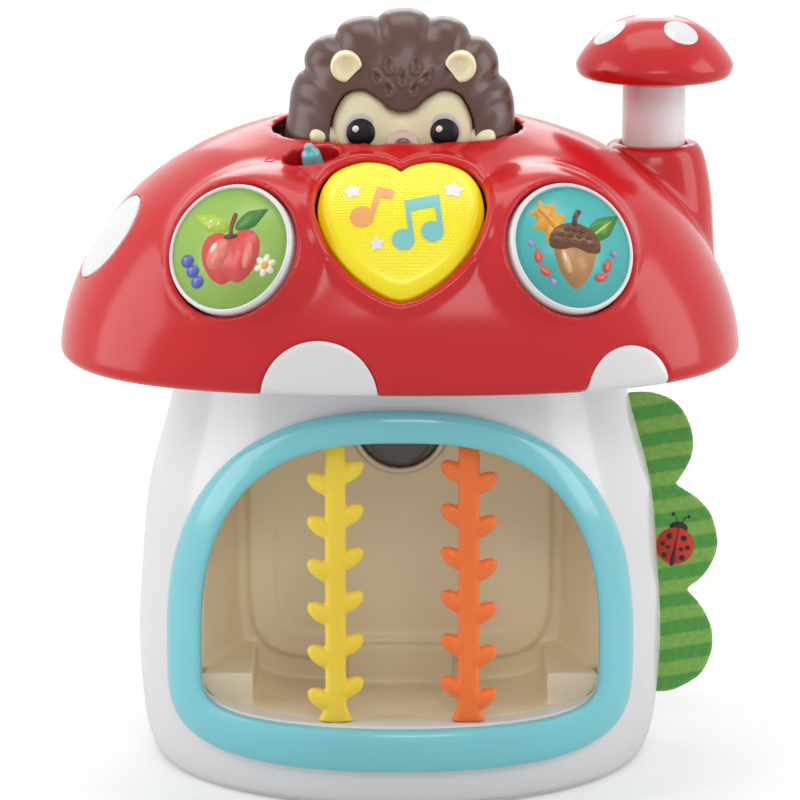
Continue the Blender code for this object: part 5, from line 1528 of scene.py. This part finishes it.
def lensPlastic(name, colour):
    # Clear yellow lens: light scatters inside it, and a weak emission paints a glow into it, though it is no
    # lamp
    made = moulded(name, colour, 0.20, 0.10, 0.004, 900, 0.02, shine=0.42)
    for key, value in (("Subsurface Weight", 0.35), ("Subsurface Radius", (0.004, 0.0035, 0.0006)),
                       ("Subsurface Scale", 0.7), ("Emission Color", (1.0, 0.80, 0.0, 1)),
                       ("Emission Strength", 0.13)):
        shaderOf(made).inputs[key].default_value = value
    return made


yellowLens = lensPlastic("yellow lens", tone["lens"])
filmWhite = moulded("white film", (0.86, 0.86, 0.85), 0.34, 0.05, 0.006, 1500, 0.006)
filmOrange = moulded("orange film", fromScreen(248, 172, 104), 0.34, 0.05, 0.006, 1500, 0.01)
filmTeal = moulded("teal film", fromScreen(132, 204, 202), 0.34, 0.05, 0.006, 1500, 0.01)
buildHeart()
print("heart ready")


# Printed discs under the rims of the round buttons: plain fruit and acorn drawings
picture = {
    "ground": (0.9, 1.62), "step": 0.07,
    "inks": {
        "green": (158, 198, 94), "teal": (84, 191, 189), "coral": (226, 86, 82), "pink": (244, 132, 116),
        "cream": (248, 238, 216), "bark": (122, 74, 44), "darkBark": (92, 54, 34), "tan": (190, 138, 88),
        "lightTan": (222, 178, 126), "lime": (186, 216, 72), "deepGreen": (72, 140, 62),
        "berry": (92, 104, 190), "lightBerry": (138, 150, 220), "ochre": (240, 176, 66),
        "darkOchre": (214, 140, 44), "lilac": (176, 150, 208),
    },
}


def blob(points):
    return smoothRows(points, 8, True)


def oval(x, y, halfLong, halfWide, turn=0.0, point=0.0, count=40):
    # An ellipse, drawn out to a tip at its far end where point is above 0
    c, s = math.cos(math.radians(turn)), math.sin(math.radians(turn))
    found = []
    for k in range(count):
        a = math.tau * k / count
        along = halfLong * math.cos(a)
        wide = halfWide * math.sin(a) * (1 - point * max(math.cos(a), 0))
        found.append((x + along * c - wide * s, y + along * s + wide * c))
    return found


def appleDrawing():
    apple = blob(((0.4, 4.0), (4.0, 5.8), (8.6, 5.2), (11.0, 1.4), (10.6, -4.4), (7.4, -10.0), (3.4, -12.4),
                  (0.4, -11.4), (-2.6, -12.4), (-6.6, -10.0), (-9.8, -4.4), (-10.2, 1.4), (-7.8, 5.2),
                  (-3.2, 5.8)))
    drawing = [
        ("deepGreen", oval(8.2, 9.4, 6.6, 3.0, 24, 0.7)), ("lime", oval(-6.6, 9.9, 6.8, 3.2, 152, 0.7)),
        ("coral", apple), ("pink", oval(-4.4, -1.4, 5.6, 3.6, 62)), ("pink", oval(6.6, -3.2, 4.6, 1.7, 78)),
        ("cream", oval(-5.9, 0.9, 2.0, 1.0, 58)), ("darkBark", oval(0.4, 4.2, 2.6, 0.9, 0)),
        ("bark", blob(((-0.3, 3.9), (1.1, 3.9), (1.3, 7.2), (2.9, 11.4), (1.5, 12.0), (0.0, 8.0)))),
        ("cream", oval(-4.2, 9.2, 0.55, 0.55)), ("cream", oval(-6.8, 10.4, 0.6, 0.6)),
        ("cream", oval(-9.4, 11.6, 0.5, 0.5)), ("cream", oval(-7.6, 8.4, 0.45, 0.45)),
    ]
    for x, y in ((-13.6, -6.4), (-11.8, -10.4), (-15.6, -2.6)):
        drawing += [("berry", circle(2.25, 32, (x, y))), ("lightBerry", circle(0.8, 20, (x - 0.6, y + 0.7)))]
    flower = (13.2, -7.6)
    for turn in range(15, 375, 60):
        a = math.radians(turn)
        drawing.append(("cream", oval(flower[0] + 2.1 * math.cos(a), flower[1] + 2.1 * math.sin(a), 1.9, 1.15,
                                      turn)))
    drawing.append(("ochre", circle(1.35, 28, flower)))
    return drawing


def acornDrawing():
    drawing = [
        ("ochre", blob(((-3.0, -2.0), (-6.2, 1.6), (-9.8, 0.6), (-10.4, 4.2), (-14.2, 4.6), (-13.2, 8.2),
                        (-16.2, 10.2), (-13.0, 12.0), (-12.6, 15.0), (-9.6, 13.2), (-6.8, 14.8), (-6.2, 11.2),
                        (-2.8, 10.6), (-4.0, 6.6), (-1.2, 3.6)))),
        ("darkOchre", blob(((-2.6, 0.2), (-8.2, 7.0), (-12.6, 11.2), (-12.0, 11.8), (-7.4, 7.8),
                            (-1.8, 0.8)))),
        ("deepGreen", oval(11.4, 8.4, 7.4, 3.6, 40, 0.7)), ("lime", oval(10.9, 7.9, 5.0, 0.5, 40, 0.5)),
        ("tan", blob(((-6.4, -0.4), (-6.0, -5.4), (-3.6, -10.6), (0.8, -14.6), (5.2, -10.6), (7.6, -5.4),
                      (8.0, -0.4), (0.8, 1.4)))),
        ("lightTan", oval(-2.4, -5.2, 4.4, 1.5, 108)), ("cream", oval(-3.0, -3.6, 1.5, 0.55, 104)),
        ("bark", blob(((-8.2, -0.8), (-8.4, 3.0), (-5.4, 6.8), (0.8, 8.6), (7.0, 6.8), (10.0, 3.0),
                       (9.8, -0.8), (5.6, -1.2), (0.8, 0.0), (-4.0, -1.2)))),
        ("darkBark", blob(((0.0, 7.8), (1.6, 7.8), (1.8, 10.4), (3.2, 12.6), (1.8, 13.4), (0.2, 11.0)))),
    ]
    for y, row in ((1.6, (-5.8, -2.5, 0.8, 4.1, 7.4)), (4.0, (-4.2, -0.9, 2.5, 5.8)),
                   (6.2, (-2.0, 0.8, 3.6))):
        drawing += [("darkBark", oval(x, y, 1.25, 0.75, 0)) for x in row]
    for x, y, turn in ((12.9, -5.0, 70), (10.6, -9.4, 20), (-10.6, -9.6, 150), (-13.0, -4.6, 100)):
        drawing += [("coral", oval(x, y, 2.7, 1.5, turn, 0.7)), ("pink", oval(x, y, 1.6, 0.3, turn, 0.5))]
    for place in ((-15.6, -0.6), (-7.4, -13.0), (15.4, -0.6)):
        drawing.append(("lilac", circle(1.1, 24, place)))
    return drawing


def buildPictures():
    inks = {name: moulded(name + " ink", fromScreen(*value), 0.34, 0.10, 0.006, 1500, 0.008, shine=0.4)
            for name, value in picture["inks"].items()}
    for side, ground, drawing in (("left", "green", appleDrawing()), ("right", "teal", acornDrawing())):
        place, axis = cap["buttons"][side]
        seat = frameAt(place, axis)
        low, high = picture["ground"]
        parts = [prism("ground", circle(buttons["print"], 128), low, high, inks[ground], seat)]
        for step, (ink, outline) in enumerate(drawing):
            top = high + picture["step"] * (0.5 + step * 0.12)
            parts.append(prism("ink", outline, high - 0.3, top, inks[ink], seat))
        made = join(side + "ButtonPicture", parts)
        piece(made, None, side + "_picture_button", (side + "_button_picture",))


buildPictures()
print("button pictures ready")


# Slide switch knob and the small moulded marks beside it
slider = {
    "stem": ((0, 4.6), (1.0, 4.5), (1.6, 3.9), (1.8, 2.9), (2.2, 2.1), (2.9, 1.5), (3.25, 0.6), (3.35, -0.8),
             (3.35, -5.5), (0, -5.5)),
    "foot": (3.3, 2.9), "footHeights": (-5.6, -4.6), "skin": 0.3, "rub": 3,
    # x, y and radius; then x, y and number of the beads that stand for quiet and loud
    "ring": (-14.2, -0.6, 1.6), "beads": ((-6.0, 7.4, 2), (6.4, 7.2, 3)), "markLift": 0.16,
}


def buildSlider():
    seat = frameAt(*cap["slot"])
    outline = roundedOutline(64, *slider["foot"], 5)
    knob = join("volumeKnob", [prism("foot", outline, *slider["footHeights"], None, seat),
                               lathe("stem", slider["stem"], None, seat, 96, 3)])
    melt(knob, slider["skin"], slider["rub"])
    piece(knob, sliderTeal, "volume_slider", ("volume_knob",))



def buildMarks():
    # A small ring and rows of beads moulded into the cap beside the slot
    seat = frameAt(*cap["slot"])
    shellTree = surfaceTree(bpy.data.objects["frontCapShell"])
    lift = slider["markLift"]
    x, y, radius = slider["ring"]
    rings = []
    for k in range(48):
        a = math.tau * k / 48
        px, py = x + radius * math.cos(a), y + radius * math.sin(a)
        z = dropOn(shellTree, seat, px, py)
        rings.append([(px + 0.3 * math.cos(b) * math.cos(a), py + 0.3 * math.cos(b) * math.sin(a),
                       z + 0.02 + 0.22 * math.sin(b)) for b in (math.tau * j / 10 for j in range(10))])
    marks = [loft("ring", rings, None, seat, closed=True)]
    for x0, y0, count in slider["beads"]:
        for k in range(count):
            x, y, halfX, halfY = x0 + 1.5 * k, y0 - 0.3 * k, 0.35, 0.4 + 0.28 * k
            dome = [(halfY * math.cos(math.pi * j / 16), lift * math.sin(math.pi * j / 16)) for j in range(8)]
            place = Matrix.Translation((x, y, dropOn(shellTree, seat, x, y)))
            marks.append(lathe("mark", [(0, -0.4), (halfY, -0.4), *dome, (0, lift)], None,
                               seat @ place @ Matrix.Diagonal((halfX / halfY, 1, 1, 1)), 40))
    piece(join("volumeMarks", marks), redShell, "house", ())


sliderTeal = moulded("slider teal", fromScreen(112, 196, 202), 0.22, 0.20, 0.010, 900, 0.02)
buildSlider()
buildMarks()
print("slider ready")


# Felt bush sewn into the right seam, with its ladybird patch
bush = {
    "y": 18.0, "x": 82.0, "half": 0.95, "edge": 0.55, "skin": 0.8, "rub": 4,
    # x beyond 82, height; round the three lobes from top to foot
    "lobes": (
        ((0, 125.7), (6.8, 126), (13.7, 124.3), (18.8, 120.6), (22.5, 114), (23.9, 107.3), (23.1, 101.3),
         (20.6, 96.1), (17.7, 91.7)),
        ((17.7, 91.7), (21.5, 89.4), (26.6, 85.7), (31.1, 79.7), (33.3, 70.7), (32.4, 64.7), (29.3, 58.6),
         (25.7, 54.9), (22.1, 52.6)),
        ((22.1, 52.6), (27.3, 46.6), (30.7, 40.5), (32.3, 33.7), (31.3, 26.8), (27.8, 19.9), (20.5, 15),
         (15.4, 13.4), (11, 13.3)),
    ),
    "inner": (15.5, 123.0), "innerGap": 0.3,
    "hinge": ((93.2, 42.0), (88.7, 98.0)), "bendFrom": -2.6, "bendTo": 3.4,
    "stripe": 10.3, "stripeLean": 0.17, "stripePlace": 4.11,
    # the patch: middle (x, z), radius, lean in degrees
    "patch": (99.8, 68.8), "patchRadius": 6.9, "patchLean": -10, "patchY": 17.07,
    "dots": ((2.7, 3.3, 1.15), (4.6, 0.1, 0.95), (2.4, -0.9, 0.8), (3.3, -4.0, 1.05)),
    # the tab in the seam: its heights, and how far it reaches out and in
    "tab": (30, 120), "tabOut": 0.6, "tabIn": 5, "tabHalf": 0.75,
    "flat": (33, 113), "area": 0.00238,
}


def feltLook():
    # Two greens in broad printed stripes on felt: fibres, specks and a nap that catches the light
    made = newMaterial("striped felt", tone["green"], 0.92, sheen=0.35)
    shaderOf(made).inputs["Sheen Roughness"].default_value = 0.55
    place = addNode(made, "ShaderNodeTexCoord")
    split = addNode(made, "ShaderNodeSeparateXYZ")
    link(made, place, "Object", split, "Vector")
    fuzz = noiseNode(made, 900.0, 5.0, 0.7)
    steps = [addNode(made, "ShaderNodeMath", operation="MULTIPLY_ADD") for _ in range(3)]
    lean, edge, turn = steps
    lean.inputs[1].default_value = -bush["stripeLean"]
    edge.inputs[1].default_value = 0.0012
    turn.inputs[1].default_value = math.tau / (bush["stripe"] * mm)
    turn.inputs[2].default_value = bush["stripePlace"]
    wave = addNode(made, "ShaderNodeMath", operation="SINE")
    for joint in ((split, "X", lean, 0), (split, "Z", lean, 2), (fuzz, "Fac", edge, 0), (lean, 0, edge, 2),
                  (edge, 0, turn, 0), (turn, 0, wave, 0)):
        link(made, *joint)
    half = rangeNode(made, wave, 0, 0.0, 1.0, -1, 1)
    ramp = rampNode(made, half, "Result", (0.35, 0.65), (fromScreen(82, 158, 68), fromScreen(132, 182, 80)))
    shade = rangeNode(made, noiseNode(made, 520.0, 4.0, 0.65), "Fac", 0.84, 1.14, 0.30, 0.70)
    mix = addNode(made, "ShaderNodeVectorMath", operation="SCALE")
    link(made, ramp, "Color", mix, "Vector")
    link(made, shade, "Result", mix, "Scale")
    link(made, mix, "Vector", shaderOf(made), "Base Color")
    addBump(made, fuzz, 0.55, 0.0005)
    return made


def patchLook(name, colour):
    # Printed felt of one colour
    made = newMaterial(name, colour, 0.9, sheen=0.2)
    fuzz = noiseNode(made, 800.0, 5.0, 0.7)
    ramp = rampNode(made, fuzz, "Fac", (0.30, 0.70), ([c * 0.82 for c in colour],
                                                      [min(c * 1.15, 1) for c in colour]))
    link(made, ramp, "Color", shaderOf(made), "Base Color")
    addBump(made, fuzz, 0.45, 0.0004)
    return made


def seamLine(low, high, out):
    # Points up the right seam, some way off the trunk
    return [(trunkSide(bush["y"], z) + out, z) for z in (low + (high - low) * k / 24 for k in range(25))]


def bushOutline():
    outline = [(bush["x"] + x, z) for x, z in chained(bush["lobes"], 6)]
    return outline + seamLine(*bush["inner"], bush["innerGap"])


def buildBush():
    outline = bushOutline()
    seat = frameAt((0, bush["y"], 0), (0, -1, 0))
    half, edge = bush["half"], bush["edge"]
    rings = []
    for k in range(9):
        a = math.pi * (k / 8 - 0.5)
        pull = edge * (1 - math.cos(a))
        rings.append([(x - 0.35 * pull if x > 92 else x, z, half * math.sin(a)) for x, z in outline])
    sheet = loft("clothBush", rings, None, seat)
    melt(sheet, bush["skin"], bush["rub"])
    piece(sheet, feltLook(), None, ("cloth_bush",))
    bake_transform(sheet)

    low, high = bush["tab"]
    tab = seamLine(low, high, bush["tabOut"]) + seamLine(high, low, -bush["tabIn"])
    rows = [[(x, z, bush["tabHalf"] * h) for x, z in tab] for h in (-1, -0.5, 0.5, 1)]
    hem = loft("bushTab", rows, None, seat)
    melt(hem, 0.6, 2)
    piece(hem, patchLook("green hem", fromScreen(88, 156, 64)), "house", ("bush_tab",))



def buildLadybird():
    # A flat printed patch with dots set evenly in pairs
    middleX, middleZ = bush["patch"]
    seat = (frameAt((middleX, bush["patchY"], middleZ), (0, -1, 0))
            @ Matrix.Rotation(math.radians(bush["patchLean"]), 4, "Z"))
    radius = bush["patchRadius"]
    parts = []

    def layer(outline, look, low, high):
        parts.append(prism("film", outline, low, high, look, seat))

    layer(oval(0, 7.0, 3.3, 2.1, 0), patchBlack, 0, 0.16)
    layer(circle(radius, 72), patchRed, 0, 0.20)
    layer(blob(((-0.16, radius - 0.2), (0.16, radius - 0.2), (0.35, 0), (0.8, -radius + 0.1),
                (-0.8, -radius + 0.1), (-0.35, 0))), patchBlack, 0.1, 0.26)
    for x, y, size in bush["dots"]:
        for side in (1, -1):
            layer(circle(size, 28, (side * x, y)), patchBlack, 0.1, 0.26)
    for side in (-1, 1):
        stalk = smoothRows(((side * 0.8, 8.6), (side * 1.5, 10.6), (side * 2.8, 11.6)), 6)
        left = [(x - 0.16, y + 0.1) for x, y in stalk]
        right = [(x + 0.16, y - 0.1) for x, y in reversed(stalk)]
        layer(left + right, patchBlack, 0, 0.16)
        layer(circle(0.6, 20, (side * 2.9, 11.6)), patchBlack, 0, 0.18)
    piece(join("ladybirdPatch", parts), None, "bush", ())


patchRed = patchLook("patch red", fromScreen(206, 52, 40))
patchBlack = patchLook("patch black", fromScreen(52, 40, 34))
buildBush()
buildLadybird()
print("bush ready")


# Screws at the rear
screw = {
    "head": ((0, 0), (1.75, 0), (2.6, 0.25), (2.9, 0.9), (2.7, 1.5), (1.9, 1.95), (0, 2.1)),
    "cross": (3.2, 0.75, 1.3), "turn": 22, "door": (0, 73.0, 92), "doorHead": 0.86, "sunk": 4.4,
    "cup": ((0, -0.9), (4.3, -0.9), (4.3, 2.0), (3.5, 2.0), (3.5, 0), (0, 0)),
}


def crossScrew(name, place, axis, size):
    seat = frameAt(place, axis) @ Matrix.Rotation(math.radians(screw["turn"]), 4, "Z") @ Matrix.Scale(size, 4)
    head = lathe(name, screw["head"], None, seat, 64, 3)
    length, width, low = screw["cross"]
    combine(head, [block("slot", (-x / 2, -y / 2, low), (x / 2, y / 2, 4), None, seat)
                   for x, y in ((length, width), (width, length))], "DIFFERENCE")
    head.data.set_sharp_from_angle(angle=math.radians(35))
    return head


def steelLook():
    made = newMaterial("bright steel", tone["steel"], 0.32, metal=1.0)
    brush = noiseNode(made, 600.0, 4.0)
    rough = rangeNode(made, brush, "Fac", 0.29, 0.46)
    link(made, rough, "Result", shaderOf(made), "Roughness")
    addBump(made, brush, 0.06, 0.0002)
    return made


steel = steelLook()
doorScrew = crossScrew("batteryDoorScrew", screw["door"], (0, 1, 0), screw["doorHead"])
piece(doorScrew, steel, "house", ("battery_door_screw",))
cups = [lathe("cup", screw["cup"], None, frameAt(screw["door"], (0, 1, 0)), 48)]
for side, (x, y, z) in zip(("left", "right"), trunk["caseScrews"]):
    place = (x, y - screw["sunk"], z)
    piece(crossScrew(side + "CaseScrew", place, (0, 1, 0), 1.0), steel, "house", ())
    cups.append(lathe("cup", screw["cup"], None, frameAt(place, (0, 1, 0)), 48))
piece(join("screwCups", cups), whiteShell, "house", ())


# The return spring and the rubber domes under the plunger, the buttons and the heart, built at rest
giving = {
    "spring": {"low": 151.2, "high": 213.2, "radius": 6.6, "wire": 0.7, "turns": 7, "steps": 36,
               "travel": 16.0},
    # radius and height in the button's frame, then the stroke
    "dome": ((6.0, -12.2), (7.6, -12.2), (7.6, -11.4), (5.4, -10.6), (4.2, -6.6), (3.6, -5.3), (2.6, -5.3),
             (3.0, -6.9), (4.4, -11.0)),
    "heartDome": ((5.0, -17.6), (6.6, -17.6), (6.6, -16.8), (4.6, -15.8), (3.6, -9.4), (3.0, -8.0),
                  (2.0, -8.0), (2.5, -9.8), (3.6, -16.2)),
    "stroke": 2.5, "heartStroke": 2.0, "heartShift": -3.0,
}


def buildSpring():
    spec = giving["spring"]
    low, high = spec["low"], spec["high"]
    steps = spec["turns"] * spec["steps"]
    rings = []
    for k in range(steps + 1):
        a = math.tau * k / spec["steps"]
        z = low + (high - low) * k / steps
        rings.append([(reach * math.cos(a), reach * math.sin(a), height)
                      for reach, height in circle(spec["wire"], 14, (spec["radius"], z))])
    x, y = cap["chimney"]["x"], cap["chimney"]["y"]
    coil = loft("plungerSpring", rings, None, frameAt((x, y, 0), (0, 0, 1)))
    piece(coil, steel, "house", ("plunger_spring",))
    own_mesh(coil)


def buildDome(name, node, profile, seat):
    rings = [[(r * math.cos(a), r * math.sin(a), z) for r, z in profile]
             for a in (math.tau * k / 48 for k in range(48))]
    dome = loft(name, rings, None, seat, True, 50)
    piece(dome, greyRubber, "house", (node,))
    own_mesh(dome)


buildSpring()
for side, spec in cap["buttons"].items():
    buildDome(side + "ButtonDome", side + "_button_dome", giving["dome"],
              frameAt(*spec))
buildDome("heartButtonDome", "heart_button_dome", giving["heartDome"],
          frameAt(*cap["heart"]) @ Matrix.Translation((0, giving["heartShift"], 0)))
print("spring and domes ready")


# What the shells hide keeps its CAD shape and gets its finish here
feltPlain = patchLook("plain felt", tone["green"])
hidden = {
    "red_plastic": redShell, "white_plastic": whiteShell, "sky_plastic": skyRing, "cream_plastic": creamRoom,
    "smoked_plastic": smokeWindow, "bezel_plastic": paleBezel, "yellow_silicone": yellowSilicone,
    "orange_silicone": orangeSilicone, "brown_plastic": brownHair, "face_plastic": creamFace,
    "eye_plastic": eyeBlack, "nose_plastic": noseBrown, "grey_plastic": greyPart, "spring_steel": steel,
    "yellow_lens": yellowLens, "green_print": boardGreen, "teal_print": skyRing, "grey_rubber": greyRubber,
    "board": boardGreen, "black_plastic": blackPart, "cell_wrap": cellWrap, "green_felt": feltPlain,
}
for row in frame["record"]["subparts"]:
    node = nodes[row["node"]]
    look = hidden[row["material_slot"]]
    if not node.material_slots:
        node.data.materials.append(look)
    for place in node.material_slots:
        place.material = look
print("finishes ready")
